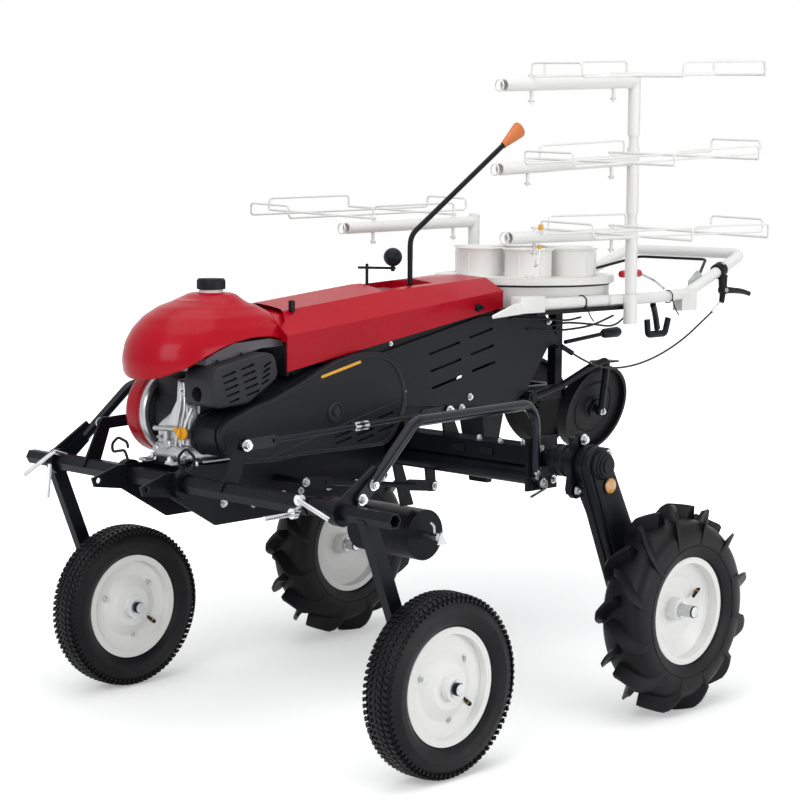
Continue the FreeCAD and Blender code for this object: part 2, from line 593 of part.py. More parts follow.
def belt_cover():
    shape = [("50", "540"), ("50", "620"), ("38", "632"), ("4", "640"), ("-76", "688"),
             ("-240", "737"), ("-335", "727"), ("-382", "700"), ("-424", "654"),
             ("-440", "592"), ("-424", "566"), ("-396", "554"), ("-110", "536"), ("30", "534")]
    block = plate("belt cover block", shape, "belt_in", "belt_out - belt_in")
    notch = [("-40", "hood_low_front - 10 - seat_gap"), ("-hood_front", "hood_low_front - seat_gap"),
             ("-hood_mid", "hood_low_mid - seat_gap"), ("-hood_mid - 60", "hood_low_mid"),
             ("-hood_mid - 60", "hood_low_mid + 60"), ("-40", "hood_low_mid + 60")]
    room = plate("room under hood", notch, "belt_in - 10", "hood_half + seat_gap - belt_in + 10")
    node(cut("belt cover", block, room), "belt_cover")


def side_panel(side, sign):
    """Sheet that closes the body's side behind the belt cover, with its standoffs."""
    shape = [("-392", "721"), ("-700", "783"), ("-755", "786"), ("-923", "779"),
             ("-975", "712"), ("-928", "702"), ("-846", "606"), ("-788", "578"),
             ("-526", "596"), ("-449", "602"), ("-448", "660"), ("-394", "704")]
    low = "panel_in" if sign > 0 else "-panel_in - panel_thickness"
    parts = [plate(f"panel {side}", shape, low, "panel_thickness")]
    rail = "gear_half + seat_gap + rail_width"
    for place in ("560", "800"):
        start = f"{rail} + seat_gap" if sign > 0 else "-panel_in"
        parts.append(cylinder(f"standoff {side} {place}", "8", f"panel_in - ({rail}) - seat_gap",
                              f"-{place}", start, "598", Y_AXIS))
    node(fuse(f"side panel {side}", parts), f"side_panel_{side}")


def hood_section(x, edge, crease, shoulder, ridge, wall):
    """Half-round sheet section at one place along the hood, wall thicknesses inside it."""
    half = measure("hood_half") - wall
    inner = measure("hood_shoulder") - wall * 0.6
    place = at(x, "0", "0")
    heights = ((half, edge), (half, crease - wall * 0.6), (inner, shoulder - wall),
               (0, ridge - wall))
    right = [V(place.x, place.y - across, height) for across, height in heights[:-1]]
    left = [V(place.x, place.y + across, height) for across, height in heights]
    return left + right[::-1]


def hood():
    """Folded sheet hood, open below and in front, with a well for the levers."""
    wall = measure("hood_wall")
    low_edges = [measure(f"hood_low_{place}") for place in ("front", "mid", "back")]
    places = (("-hood_front", low_edges[0], 774, 817, 829),
              ("-hood_mid", low_edges[1], 806, 848, 862),
              ("-hood_back", low_edges[2], 841, 868, 872))
    outer = lofted([hood_section(*place, 0) for place in places])
    inner_places = (("-hood_front + 5", 660, 774, 817, 829), ("-hood_mid", 700, 806, 848, 862),
                    (f"-hood_back + {wall}", 700, 841, 868, 872))
    inner = lofted([hood_section(*place, wall) for place in inner_places])
    window = [measure(name) for name in ("window_front", "window_back", "window_half")]
    floor = measure("window_floor")
    corner = at(f"-{window[1]}", f"-{window[2]}", floor)
    length, width = window[1] - window[0], 2 * window[2]
    well = Part.makeBox(length, width, 60, corner).common(outer)
    hole = Part.makeBox(length - 2 * wall, width - 2 * wall, 80,
                        corner + V(wall, wall, -1))
    shell = outer.cut(inner).fuse(well).cut(hole)
    stays = [rod([at(x, "0", "gear_high + seat_gap"), at(x, "0", top)], measure("stay_radius"))
             for x, top in (("-250", "842"), ("-400", "859"))]
    node(made("hood", shell.fuse(stays).cut(tank_dome(measure("tank_clearance")))), "hood")
    node(box("lever panel", "window_back - window_front", "2 * window_half", "3",
             "-window_back", "-window_half", "window_floor - 3 - seat_gap"), "lever_panel")


def guard(side, sign):
    """Bent side guard pipe with flattened ends."""
    radius, flat = measure("guard_radius"), measure("guard_flat")
    if sign > 0:
        front_y, rear_y = "leg_left_y - 75 + collar_width + seat_gap", "axle_left_end + end_plate"
        rear_y += " + seat_gap"
        path_y = ("540", "472")
    else:
        front_y = "leg_right_y + leg_width / 2 + lug_thickness + seat_gap"
        rear_y = "-axle_right_end - end_plate - seat_gap - guard_flat"
        path_y = ("-326", "-330")
    first = at("guard_bolt_x", front_y, "guard_bolt_z")
    second = at("guard_bolt_x - guard_step", front_y, "guard_bolt_z + guard_rise")
    tail = at("-498", rear_y, "472")
    heel = at("-479", rear_y, "497")
    middle = V(0, flat / 2, 0)
    pipe = rod([second + middle, at("-62", path_y[0], "642"), at("-480", path_y[1], "637"),
                heel + middle], radius, 46)
    room = Part.makeBox(150, 200, 160, V(second.x - 40, second.y - 200, second.z - 100))
    pipe = pipe.cut(room)
    outside = Part.makeBox(80, 200, 200, V(heel.x - 40, rear_limit(heel, sign), heel.z - 90))
    pipe = pipe.cut(outside)
    ends = [link_plate(first, second, 2 * radius + 5, first.y, flat),
            link_plate(heel, tail, 2 * radius + 3, heel.y, flat)]
    node(made(f"guard pipe {side}", pipe.fuse(ends)), f"guard_pipe_{side}")


def rear_limit(heel, sign):
    """Where the end plate's face keeps the guard pipe out."""
    return heel.y - 200 if sign > 0 else heel.y + measure("guard_flat")


def link_rod(side, sign):
    """Threaded rod between the beam's lever arm and the axle's crank, with flat forks."""
    half = measure("lever_thickness") / 2 + measure("seat_gap")
    fork = measure("fork_thickness")
    middle = at("0", f"{sign} * lever_y", "0").y + sign * (half + fork / 2)
    front, back = at("lever_x", "0", "lever_z"), at("-crank_x", "0", "crank_z")
    front.y = back.y = middle
    run = (back - front).normalize()
    reach = measure("fork_length")
    turnbuckle = front + run * measure("lever_x + turnbuckle_x")
    length = measure("turnbuckle_length")
    shapes = [link_plate(front, front + run * reach, measure("fork_width"), middle - fork / 2,
                         fork),
              link_plate(back, back - run * reach, measure("fork_width"), middle - fork / 2,
                         fork),
              rod([turnbuckle - run * length / 2, turnbuckle + run * length / 2],
                  measure("turnbuckle_radius"))]
    bar = rod([front + run * reach, back - run * reach], measure("rod_radius"))
    node(made(f"link rod {side}", bar.fuse(shapes)), f"link_rod_{side}")


def lift_rod():
    """Rod from the frame's lift pivot to the bracket under the rear pipe."""
    fork, width = measure("fork_thickness"), measure("fork_width")
    front = at("-pivot_pin_x", "lift_y + seat_gap", "pivot_pin_z")
    back = at("-lift_x", "lift_y + seat_gap", "lift_z")
    run = (back - front).normalize()
    reach = measure("fork_length")
    middle = V(0, fork / 2, 0)
    bar = rod([front + run * reach * 0.8 + middle, back - run * reach * 0.8 + middle],
              measure("rod_radius"))
    shapes = [link_plate(front, front + run * reach, width, front.y, fork),
              link_plate(back, back - run * reach, width, back.y, fork)]
    node(made("lift rod", bar.fuse(shapes)), "lift_rod")


def depth_roller():
    """Plain drum that rolls on the bed, on an axle held by one hanger."""
    bore = "roller_axle_radius + running_gap"
    corners = [(bore, "-roller_half"), ("roller_radius", "-roller_half"),
               ("roller_radius", "roller_half"), (bore, "roller_half")]
    node(turned("depth roller", corners, "Y", "-roller_x", "0", "roller_z"), "depth_roller")
    shape = [("-pipe_x + 16", "pipe_z - 12"), ("-pipe_x - 18", "pipe_z - 12"),
             ("-roller_x - 18", "roller_z + 6"), ("-roller_x - 12", "roller_z - 16"),
             ("-roller_x + 12", "roller_z - 16"), ("-roller_x + 20", "roller_z + 8")]
    hanger = plate("hanger plate", shape, "-hanger_y", "hanger_thickness")
    axle = cylinder("roller axle", "roller_axle_radius", "hanger_y + roller_half + 22",
                    "-roller_x", "-hanger_y", "roller_z", Y_AXIS)
    scraper = plate("scraper bracket", [
        ("-pipe_x + 12", "pipe_z - 12"), ("-pipe_x - 12", "pipe_z - 12"),
        ("-roller_x + 4", "roller_z + roller_radius + 8"),
        ("-roller_x + 40", "roller_z + roller_radius + 8")], "56", "hanger_thickness")
    solid = fuse("hanger solid", [hanger, axle, scraper])
    seat = cylinder("hanger seat", "pipe_radius + seat_gap", "3 * hanger_y", "-pipe_x",
                    "-hanger_y - 20", "pipe_z", Y_AXIS)
    node(cut("roller hanger", solid, seat), "roller_hanger")


def turntable():
    """Stand with its spindle, fixed ring, turning disc, seedling cups and drop chute."""
    deck = box("stand deck", "stand_back - stand_front", "2 * stand_half",
               "stand_high - stand_low", "-stand_back", "-stand_half", "stand_low")
    spindle = cylinder("spindle", "spindle_radius", "spindle_top - stand_high", "-table_x", "0",
                       "stand_high")
    drop = cylinder("drop hole", "chute_radius - chute_wall", "stand_high - stand_low + 20",
                    "-drop_x", "0", "stand_low - 10")
    node(cut("turntable stand", fuse("stand solid", [deck, spindle]), drop), "turntable_stand")
    node(turned("turntable ring", [
        ("ring_inner", "stand_high + seat_gap"), ("ring_outer", "stand_high + seat_gap"),
        ("ring_outer", "ring_top"), ("ring_inner", "ring_top")],
        "Z", "-table_x", "0", "0"), "turntable_ring")
    bore = "spindle_radius + running_gap"
    node(turned("turntable disc", [
        (bore, "stand_high + 30"), ("table_hub", "stand_high + 30"),
        ("table_hub", "table_top - table_skin"),
        ("table_radius - table_skin", "table_top - table_skin"),
        ("table_radius - table_skin", "table_top - table_lip"),
        ("table_radius", "table_top - table_lip"), ("table_radius", "table_top"),
        (bore, "table_top")], "Z", "-table_x", "0", "0"), "turntable_disc")
    outer, inner = measure("cup_radius"), measure("cup_radius - cup_wall")
    height, flare = measure("cup_height"), measure("cup_flare")
    wall = measure("cup_wall")
    profile = [V(0, 0, 0), V(outer, 0, 0), V(outer, 0, height - flare),
               V(outer + flare, 0, height - wall), V(outer + flare, 0, height),
               V(outer + flare - wall, 0, height), V(inner, 0, height - flare),
               V(inner, 0, wall), V(0, 0, wall)]
    cup = Part.Face(Part.makePolygon(profile + profile[:1])).revolve(V(), Z_AXIS, 360)
    centre = at("-table_x", "0", "table_top")
    count = round(measure("cup_count"))
    cups = []
    for index in range(count):
        angle = math.radians(measure("cup_phase") + 360 * index / count)
        reach = measure("cup_ring")
        cups.append(cup.translated(centre + V(reach * math.cos(angle), reach * math.sin(angle), 0)))
    node(made("seedling cups", Part.makeCompound(cups)), "seedling_cups")
    wall = "chute_wall"
    node(turned("drop chute", [
        ("chute_end_radius", "chute_low"), ("chute_radius", "stand_low - seat_gap"),
        (f"chute_radius - {wall}", "stand_low - seat_gap"),
        (f"chute_end_radius - {wall}", "chute_low")],
        "Z", "-drop_x", "0", "0"), "drop_chute")


def planting_beak():
    """Two-jaw planting beak, hollow from top to tip, on its twin arm."""
    def ring(half_x, half_y, height):
        place = at("-drop_x", "0", height)
        return [place + V(half_x, half_y, 0), place + V(-half_x, half_y, 0),
                place + V(-half_x, -half_y, 0), place + V(half_x, -half_y, 0)]
    half, tip, wall = (measure(name) for name in ("beak_half", "beak_tip", "beak_wall"))
    outer = lofted([ring(half, half, "beak_top"), ring(tip, half * 0.7, "beak_low")])
    inner = lofted([ring(half - wall, half - wall, "beak_top + 1"),
                    ring(tip - wall, half * 0.7 - wall, "beak_low - 1")])
    bar = measure("arm_bar")
    low, high = measure("arm_low"), measure("arm_high")
    front = at("-gear_back - seat_gap", "0", "0")
    back = at("-drop_x", "0", "0")
    arms = []
    for sign in (1, -1):
        y = front.y + sign * measure("arm_bar_y") - bar / 2
        arms.append(Part.makeBox(front.x - back.x + half, bar, high - low,
                                 V(back.x - half, y, low)))
    for x in (back.x - half, back.x + half - bar):
        arms.append(Part.makeBox(bar, 2 * measure("arm_bar_y"), high - low,
                                 V(x, front.y - measure("arm_bar_y"), low)))
        arms.append(Part.makeBox(bar, 2 * half - 8, low - measure("beak_top") + 2,
                                 V(x, front.y - half + 4, measure("beak_top") - 2)))
    body = outer.cut(inner).fuse(arms)
    node(made("planting beak", body.cut(inner)), "planting_beak")


def press_wheel(side, sign):
    """Dished press wheel that leans outward at the top, and the arm that trails it."""
    bore = "press_axle + running_gap"
    rim_in, rim_out = "press_radius - press_rim", "press_radius"
    face, disc, hub = "press_face / 2", "press_disc / 2", "press_hub / 2"
    corners = [(bore, f"-{hub}"), ("press_hub_radius", f"-{hub}"),
               ("press_hub_radius", f"-{disc}"), (rim_in, f"-{disc}"), (rim_in, f"-{face}"),
               (rim_out, f"-{face}"), (rim_out, face), (rim_in, face), (rim_in, disc),
               ("press_hub_radius", disc), ("press_hub_radius", hub), (bore, hub)]
    wheel = turned(f"press wheel {side}", corners, "Y", "-press_x", f"{sign} * press_y",
                   "press_z")
    turn(wheel, V(-sign, 0, 0), "press_tilt")
    node(wheel, f"press_wheel_{side}")
    radius = measure("press_arm_radius")
    tilt = math.radians(measure("press_tilt"))
    axis = V(0, sign * math.cos(tilt), -math.sin(tilt))
    upward = V(0, sign * math.sin(tilt), math.cos(tilt))
    centre = at("-press_x", f"{sign} * press_y", "press_z")
    outside = centre + axis * (measure("press_hub") / 2 + 14)
    pivot = at("-press_pivot_x", f"{sign} * (gear_half + rail_width + 40 - 10)", "press_pivot_z")
    crest = outside + upward * measure("press_radius + 24") + V(20, 0, 0)
    points = [pivot, pivot + V(-104, sign * 2, 20), crest + V(64, 0, -14), crest, outside]
    arm = rod(points, radius, 16)
    eye = Part.makeCylinder(15, 16, pivot - V(0, 8, 0), Y_AXIS)
    eye_hole = Part.makeCylinder(7.2, 40, pivot - V(0, 20, 0), Y_AXIS)
    stub = Part.makeCylinder(measure("press_axle"), measure("press_hub") + 20,
                             outside, axis * -1)
    boss = Part.makeCylinder(13, 10, outside - axis * 5, axis)
    blade = Part.makeBox(56, 44, 4, V(crest.x - 34, crest.y - (36 if sign > 0 else 8), crest.z - 8))
    node(made(f"press arm {side}", arm.fuse([eye, stub, boss, blade]).cut(eye_hole)),
         f"press_arm_{side}")


def handle_side(sign):
    """The corners of one side pipe, from its front end to the handle's corner."""
    return [at("-706", f"{sign} * pipe_frame_y", "pipe_frame_z"),
            at("-1215", f"{sign} * pipe_frame_y", "pipe_frame_z"),
            at("-1352", f"{sign} * (handle_half + 19)", "pipe_frame_z + 3"),
            at("-handle_back", f"{sign} * handle_half", "handle_z")]


def handle_frame():
    """White pipe frame: side pipes under the table, sockets for the posts, and the handle."""
    radius = measure("pipe_frame_radius")
    pipe = rod(handle_side(1) + handle_side(-1)[::-1], radius, measure("handle_bend"))
    extras, bores = [], []
    for sign in (1, -1):
        foot = at("-post_x", f"{sign} * post_y", "socket_low")
        height = measure("socket_high - socket_low")
        extras.append(Part.makeCylinder(measure("socket_radius"), height, foot))
        web_y = foot.y - measure("post_y - pipe_frame_y") if sign > 0 else foot.y
        extras.append(Part.makeBox(20, measure("post_y - pipe_frame_y"), 22,
                                   V(foot.x - 10, web_y, measure("pipe_frame_z") - 11)))
        bores.append(Part.makeCylinder(measure("post_radius + seat_gap / 2"), height,
                                       foot + V(0, 0, 8)))
        block = at("-1375", f"{sign} * (handle_half + 19) - 14", "pipe_frame_z - 38")
        extras.append(Part.makeBox(measure("handle_block"), 28, 52, block))
    node(made("handle frame", pipe.fuse(extras).cut(Part.makeCompound(bores))), "handle_frame")


def tray_post(side, sign):
    node(cylinder(f"tray post {side}", "post_radius",
                  f"post_{side}_top - socket_low - 8 - seat_gap", "-post_x",
                  f"{sign} * post_y", "socket_low + 8 + seat_gap"), f"tray_post_{side}")


def fence(start, end, height, radius):
    """An upright wire hoop between two points of the tray frame."""
    up = V(0, 0, height)
    return rod([start, start + up, end + up, end], radius, 9)


def tray_arm(label, sign, name):
    """Sleeve on the post, forward arm, and the wire tray frame that it carries."""
    post = at("-post_x", f"{sign} * post_y", "0")
    centre = V(post.x, post.y, measure(f"{name}_arm_z"))
    reach, wire = measure("arm_reach"), measure("wire_radius")
    thin, rise = measure("thin_wire_radius"), measure("rack_rise")
    outer, bore = measure("arm_radius"), measure("arm_bore")
    low, high = measure(f"{name}_sleeve_low"), measure(f"{name}_sleeve_high")
    overlap = measure("bar_overlap")
    sleeve = Part.makeCylinder(measure("sleeve_radius"), high - low, V(post.x, post.y, low))
    arm = Part.makeCylinder(outer, reach, centre, X_AXIS)
    hollow = Part.makeCylinder(bore, reach - 30, centre + V(31, 0, 0), X_AXIS)
    hole = Part.makeCylinder(measure("post_radius + sleeve_gap"), high - low + 2,
                             V(post.x, post.y, low - 1))
    near, far = measure("stud_near"), measure("stud_far")
    drop = measure("stud_drop") + outer
    studs = [Part.makeCylinder(measure("stud_radius"), drop + rise,
                               centre + V(along, 0, -drop)) for along in (near, far)]
    start, width = sign * measure(f"{name}_rack_start"), sign * measure("rack_width")
    height = measure("fence_height")

    def place(along, across):
        return centre + V(along, across, rise)
    bars = [rod([place(along, -sign * overlap), place(along, start + width)], wire)
            for along in (near, far)]
    bars += [fence(place(near, across), place(far, across), height, thin)
             for across in (start, start + width)]
    middle, half = (near + far) / 2, measure("tray_length") / 2
    inner = start + width * measure("rail_share_in")
    outside = start + width * measure("rail_share_out")
    up = V(0, 0, height)
    loops = []
    for end in (middle + half, middle - half):
        loops.append(rod([place(middle, inner), place(end, inner), place(end, inner) + up,
                          place(end, outside) + up, place(end, outside),
                          place(middle, outside)], thin, 9))
    steel = arm.fuse(studs + bars + loops).cut(hollow)
    sag = ((Y_AXIS, f"{name}_droop"), (X_AXIS, "rack_lean"), (Z_AXIS, f"{name}_swing"))
    for axis, angle in sag:
        steel.rotate(centre, axis, measure(angle))
    node(made(label, sleeve.fuse([steel]).cut(hole)), label)


def levers():
    """Main lever with its grip, and the depth lever with its ball."""
    radius = measure("lever_rod_radius")
    foot = at("-563", "main_lever_y", "window_floor - seat_gap")
    elbow = at("-563", "main_lever_y", "964")
    tip = at("-868", "main_lever_y", "1168")
    run = (tip - elbow).normalize()
    stick = rod([foot, elbow, tip], radius, 22)
    grip = Part.makeCone(8, 14, 72, tip - run * 4, run)
    node(made("main lever", stick.fuse([grip])), "main_lever")
    floor = "window_floor - seat_gap"
    post = rod([at("-506", "depth_lever_y", floor), at("-506", "depth_lever_y", "902")], 3.6)
    bar = rod([at("-480", "depth_lever_y", "894"), at("-594", "depth_lever_y", "889")], 3)
    stem = rod([at("-587", "depth_lever_y", "882"), at("-587", "depth_lever_y", "910")], 4.5)
    ball = Part.makeSphere(measure("knob_radius"), at("-587", "depth_lever_y", "914"))
    node(made("depth lever", post.fuse([bar, stem, ball])), "depth_lever")


CABLE_ROUTE = (("-1453", "200", "764"), ("-1409", "198", "738"), ("-1357", "194", "707"),
               ("-1296", "190", "680"), ("-1229", "186", "659"), ("-1159", "182", "647"),
               ("-1091", "175", "646"), ("-1032", "160", "659"), ("-990", "143", "686"))


def clutch():
    """Hand lever under the left grip and the cable that runs from it to the side panel."""
    start, end = handle_side(1)[2:]
    along = (end - start).normalize()
    mount = start + along * 140
    clamp = Part.makeCylinder(19, 26, mount, along)
    bore = Part.makeCylinder(measure("pipe_frame_radius + seat_gap"), 120, mount - along * 40,
                             along)
    route = [at(*point) for point in CABLE_ROUTE]
    exit_run = (route[1] - route[0]).normalize()
    knuckle = mount + along * 13 + V(0, 26, -12)
    ear = Part.makeCylinder(9, 20, knuckle - V(0, 16, 0), Y_AXIS)
    barrel = rod([route[0] - exit_run * 46, route[0]], 6.5)
    bracket = rod([knuckle - V(0, 4, 4), route[0] - exit_run * 40], 6)
    blade = rod([knuckle, knuckle + V(-38, 8, -30), knuckle + V(-96, 6, -52)], 5, 20)
    lever = clamp.fuse([ear, barrel, bracket, blade]).cut(bore)
    node(made("clutch lever", lever), "clutch_lever")

    def bend(before, corner, after, half):
        shorter = min((before - corner).Length, (after - corner).Length)
        return 0.45 * shorter * math.tan(half)
    radius = measure("cable_radius")
    path = bent_path(route, bend)
    circle = Part.Circle(route[0], route[1] - route[0], radius)
    cable = path.makePipeShell([Part.Wire(circle.toShape())], True, False)
    radii = [round(edge.Curve.Radius, 1) for edge in path.Edges if hasattr(edge.Curve, "Radius")]
    share = cable.Volume / (math.pi * radius ** 2 * path.Length)
    print(f"cable length {path.Length:.1f}, arc radii {radii}, volume share {share:.5f}")
    node(made("clutch cable", cable), "clutch_cable")
    last_run = (route[-1] - route[-2]).normalize()
    guide = Part.makeCylinder(6, 34, route[-1], last_run)
    lug_low = route[-1] + last_run * 26
    lug_y = at("0", "panel_in + panel_thickness + seat_gap", "0").y
    lug = Part.makeBox(24, lug_low.y - lug_y, 5, V(lug_low.x - 4, lug_y, lug_low.z))
    node(made("cable guide", guide.fuse([lug])), "cable_guide")


front_frame()
front_beam()
for side, sign in SIDES:
    front_leg(side, sign)
wheels()
rear_axle()
for side, sign in SIDES:
    chain_case(side, sign)
transmission()
chassis_rails()
engine()
tank()
belt_cover()
hood()
for side, sign in SIDES:
    side_panel(side, sign)
    guard(side, sign)
    link_rod(side, sign)
lift_rod()
depth_roller()
turntable()
planting_beak()
for side, sign in SIDES:
    press_wheel(side, sign)
handle_frame()
for side, sign in SIDES:
    tray_post(side, sign)
tray_arm("tray_arm_top", 1, "top")
tray_arm("tray_arm_middle", 1, "middle")
tray_arm("tray_arm_lower", 1, "lower")
tray_arm("tray_arm_right", -1, "right")
levers()
clutch()

document.recompute()
for item in document.Objects:
    if "Invalid" in item.State or "Error" in item.State:
        raise RuntimeError(f"{item.Label} failed: {item.State}")
os.makedirs("parts", exist_ok=True)
for piece in nodes:
    shape = piece.Shape
    if shape.isNull() or not shape.isValid():
        raise RuntimeError(f"{piece.Label} has no valid shape")
    shape.exportStep(os.path.join("parts", piece.Label + ".step"))
print(len(nodes), "nodes written")
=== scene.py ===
# %% [markdown]
# # A walk-behind vegetable transplanter
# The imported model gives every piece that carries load, at its real size. This notebook adds what
# the eye looks for: tyre treads, moulded covers, slots, bolts, grips, paint and rubber.

# %% Load the frame
import bmesh
import bpy
import json
import math
from mathutils import Matrix, Vector


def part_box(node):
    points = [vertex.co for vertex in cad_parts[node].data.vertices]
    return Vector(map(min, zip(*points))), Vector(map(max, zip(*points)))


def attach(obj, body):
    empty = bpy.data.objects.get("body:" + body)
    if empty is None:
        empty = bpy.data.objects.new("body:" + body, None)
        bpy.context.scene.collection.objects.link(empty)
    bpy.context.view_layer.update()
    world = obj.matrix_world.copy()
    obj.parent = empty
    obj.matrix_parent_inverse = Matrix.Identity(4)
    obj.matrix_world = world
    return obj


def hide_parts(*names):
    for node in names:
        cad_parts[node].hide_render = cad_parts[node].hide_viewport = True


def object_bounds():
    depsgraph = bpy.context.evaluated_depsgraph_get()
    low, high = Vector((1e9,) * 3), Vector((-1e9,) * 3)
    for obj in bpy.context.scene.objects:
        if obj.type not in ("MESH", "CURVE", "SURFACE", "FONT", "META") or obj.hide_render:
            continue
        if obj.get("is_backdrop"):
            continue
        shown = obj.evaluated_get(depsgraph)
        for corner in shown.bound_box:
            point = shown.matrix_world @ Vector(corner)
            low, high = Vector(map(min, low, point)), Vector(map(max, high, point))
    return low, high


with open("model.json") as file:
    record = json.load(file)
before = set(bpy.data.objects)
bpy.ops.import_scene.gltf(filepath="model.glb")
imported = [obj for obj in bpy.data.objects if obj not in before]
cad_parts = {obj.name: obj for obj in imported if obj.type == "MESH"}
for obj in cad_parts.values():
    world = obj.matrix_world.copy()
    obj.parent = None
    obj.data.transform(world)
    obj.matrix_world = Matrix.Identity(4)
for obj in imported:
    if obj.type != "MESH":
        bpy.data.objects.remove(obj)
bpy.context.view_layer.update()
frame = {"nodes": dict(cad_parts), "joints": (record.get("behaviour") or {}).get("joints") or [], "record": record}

# %% [markdown]
# ## One ruler
# Sizes are easiest to think about from the machine itself: x forward from the front axle, y to
# the left from the middle of the body, z up from the floor, in millimetres. The front tyre and
# the depth roller give those two zero lines, so nothing is fitted by eye.

# %% A ruler in machine millimetres
MM = 0.001
SIDES = (("left", 1), ("right", -1))


def middle(node):
    """The centre of a node's box, in metres."""
    low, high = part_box(node)
    return (Vector(low) + Vector(high)) / 2


AXLE_X = middle("front_tyre_left").x
BODY_Y = middle("depth_roller").y


def spot(x, y, z):
    """Machine millimetres to metres in the frame."""
    return Vector((AXLE_X + x * MM, BODY_Y + y * MM, z * MM))


def reading(point):
    """Frame metres to machine millimetres."""
    return Vector(((point.x - AXLE_X) / MM, (point.y - BODY_Y) / MM, point.z / MM))


def extent(node):
    """A node's lowest and highest corner in machine millimetres."""
    return [reading(Vector(corner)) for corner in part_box(node)]


def placed(name, data):
    """A new object in the scene."""
    thing = bpy.data.objects.new(name, data)
    bpy.context.collection.objects.link(thing)
    return thing


print("front axle at", round(AXLE_X, 4), "body middle at", round(BODY_Y, 4))

# %% [markdown]
# ## Finishes
# Most of the machine is painted or moulded, so one small recipe serves many finishes: a
# Principled shader whose roughness drifts a little, whose colour is slightly uneven, and whose
# surface has a fine grain. What changes from one finish to the next is the size and the strength
# of each. Everything reads Object coordinates, in metres, so a pattern keeps its real scale.

# %% The finish recipe
NODE_GAP = 190


def add(tree, kind, inputs=None, at=(0, 0), **settings):
    """A node in a tree, with some of its inputs and settings filled in."""
    node = tree.nodes.new(kind)
    node.location = at
    for label, value in (inputs or {}).items():
        node.inputs[label].default_value = value
    for key, value in settings.items():
        setattr(node, key, value)
    return node


def map_range(tree, source, to, start=(0, 1), kind="LINEAR"):
    """A Map Range node between two spans, fed by an output."""
    spans = dict(zip(("From Min", "From Max", "To Min", "To Max"), (*start, *to)))
    node = add(tree, "ShaderNodeMapRange", spans, (-3 * NODE_GAP, -100), interpolation_type=kind)
    tree.links.new(source, node.inputs["Value"])
    return node.outputs["Result"]


def shader(name, colour, roughness, metallic=0.0, coat=0.0, specular=0.5):
    """A new material with its Principled shader, tree and Object coordinates."""
    material = bpy.data.materials.new(name)
    material.use_nodes = True
    tree = material.node_tree
    surface = tree.nodes["Principled BSDF"]
    for label, value in (("Base Color", (*colour, 1)), ("Roughness", roughness),
                         ("Metallic", metallic), ("Coat Weight", coat),
                         ("Coat Roughness", 0.06), ("Specular IOR Level", specular)):
        surface.inputs[label].default_value = value
    place = add(tree, "ShaderNodeTexCoord", at=(-6 * NODE_GAP, 0))
    return material, tree, surface, place.outputs["Object"]


def noise(tree, place, scale, detail=3.0):
    """A noise pattern of so many waves to the metre."""
    node = add(tree, "ShaderNodeTexNoise", {"Scale": scale, "Detail": detail},
               (-5 * NODE_GAP, -scale * 0.1))
    tree.links.new(place, node.inputs["Vector"])
    return node.outputs["Fac"]


def uneven_colour(tree, surface, place, colour, scale, spread):
    """Let the colour drift by a share of itself."""
    ramp = add(tree, "ShaderNodeValToRGB", at=(-3 * NODE_GAP, 200))
    for stop, share, level in zip(ramp.color_ramp.elements, (0.3, 0.7), (1 - spread, 1 + spread)):
        stop.position = share
        stop.color = (*[min(1.0, part * level) for part in colour], 1)
    tree.links.new(noise(tree, place, scale), ramp.inputs["Fac"])
    tree.links.new(ramp.outputs["Color"], surface.inputs["Base Color"])


def uneven_gloss(tree, surface, place, roughness, scale, spread):
    """Let the roughness drift around its middle value."""
    span = map_range(tree, noise(tree, place, scale),
                     (max(0.02, roughness - spread), min(1.0, roughness + spread)))
    tree.links.new(span, surface.inputs["Roughness"])


def grain(tree, surface, place, scale, depth):
    """A fine bump of a depth in metres."""
    bump = add(tree, "ShaderNodeBump", {"Distance": depth}, (-2 * NODE_GAP, -350))
    tree.links.new(noise(tree, place, scale, 2.0), bump.inputs["Height"])
    tree.links.new(bump.outputs["Normal"], surface.inputs["Normal"])


def finish(name, colour, roughness, metallic=0.0, coat=0.0, drift=(6, 0.08), gloss=(14, 0.05),
           skin=(900, 0.00005), specular=0.5):
    """A finish from the recipe: drift, gloss and skin are each (waves to the metre, amount)."""
    material, tree, surface, place = shader(name, colour, roughness, metallic, coat, specular)
    uneven_colour(tree, surface, place, colour, *drift)
    uneven_gloss(tree, surface, place, roughness, *gloss)
    grain(tree, surface, place, *skin)
    return material


# %% [markdown]
# Paint on steel is glossy with a faint orange peel. The covers are moulded with a leathery
# grain. The racks and the handle are powder coated: white, with a soft sheen. Rubber is the
# darkest and the least shiny, and zinc plate is bright with a slightly cloudy gloss.

# %% Paints and plastics
dark_paint = finish("dark_paint", (0.006, 0.0065, 0.009), 0.38, coat=0.03, drift=(9, 0.25),
                    gloss=(22, 0.08), skin=(260, 0.00004), specular=0.1)
pipe_paint = finish("pipe_paint", (0.005, 0.0065, 0.012), 0.24, coat=0.09, drift=(7, 0.15),
                    gloss=(18, 0.05), skin=(160, 0.00003), specular=0.16)
red_paint = finish("red_paint", (0.40, 0.0015, 0.012), 0.28, coat=0.08, drift=(4, 0.06),
                   gloss=(10, 0.05), skin=(220, 0.00003), specular=0.12)
cover_plastic = finish("cover_plastic", (0.010, 0.0108, 0.014), 0.44, drift=(5, 0.12),
                       gloss=(12, 0.06), skin=(1400, 0.00012), specular=0.13)
silencer_plastic = finish("silencer_plastic", (0.018, 0.0185, 0.022), 0.5, drift=(6, 0.12),
                          gloss=(14, 0.06), skin=(1300, 0.00014), specular=0.2)
white_coat = finish("white_coat", (0.80, 0.80, 0.785), 0.34, coat=0.1, drift=(5, 0.02),
                    gloss=(20, 0.05), skin=(420, 0.00003), specular=0.3)
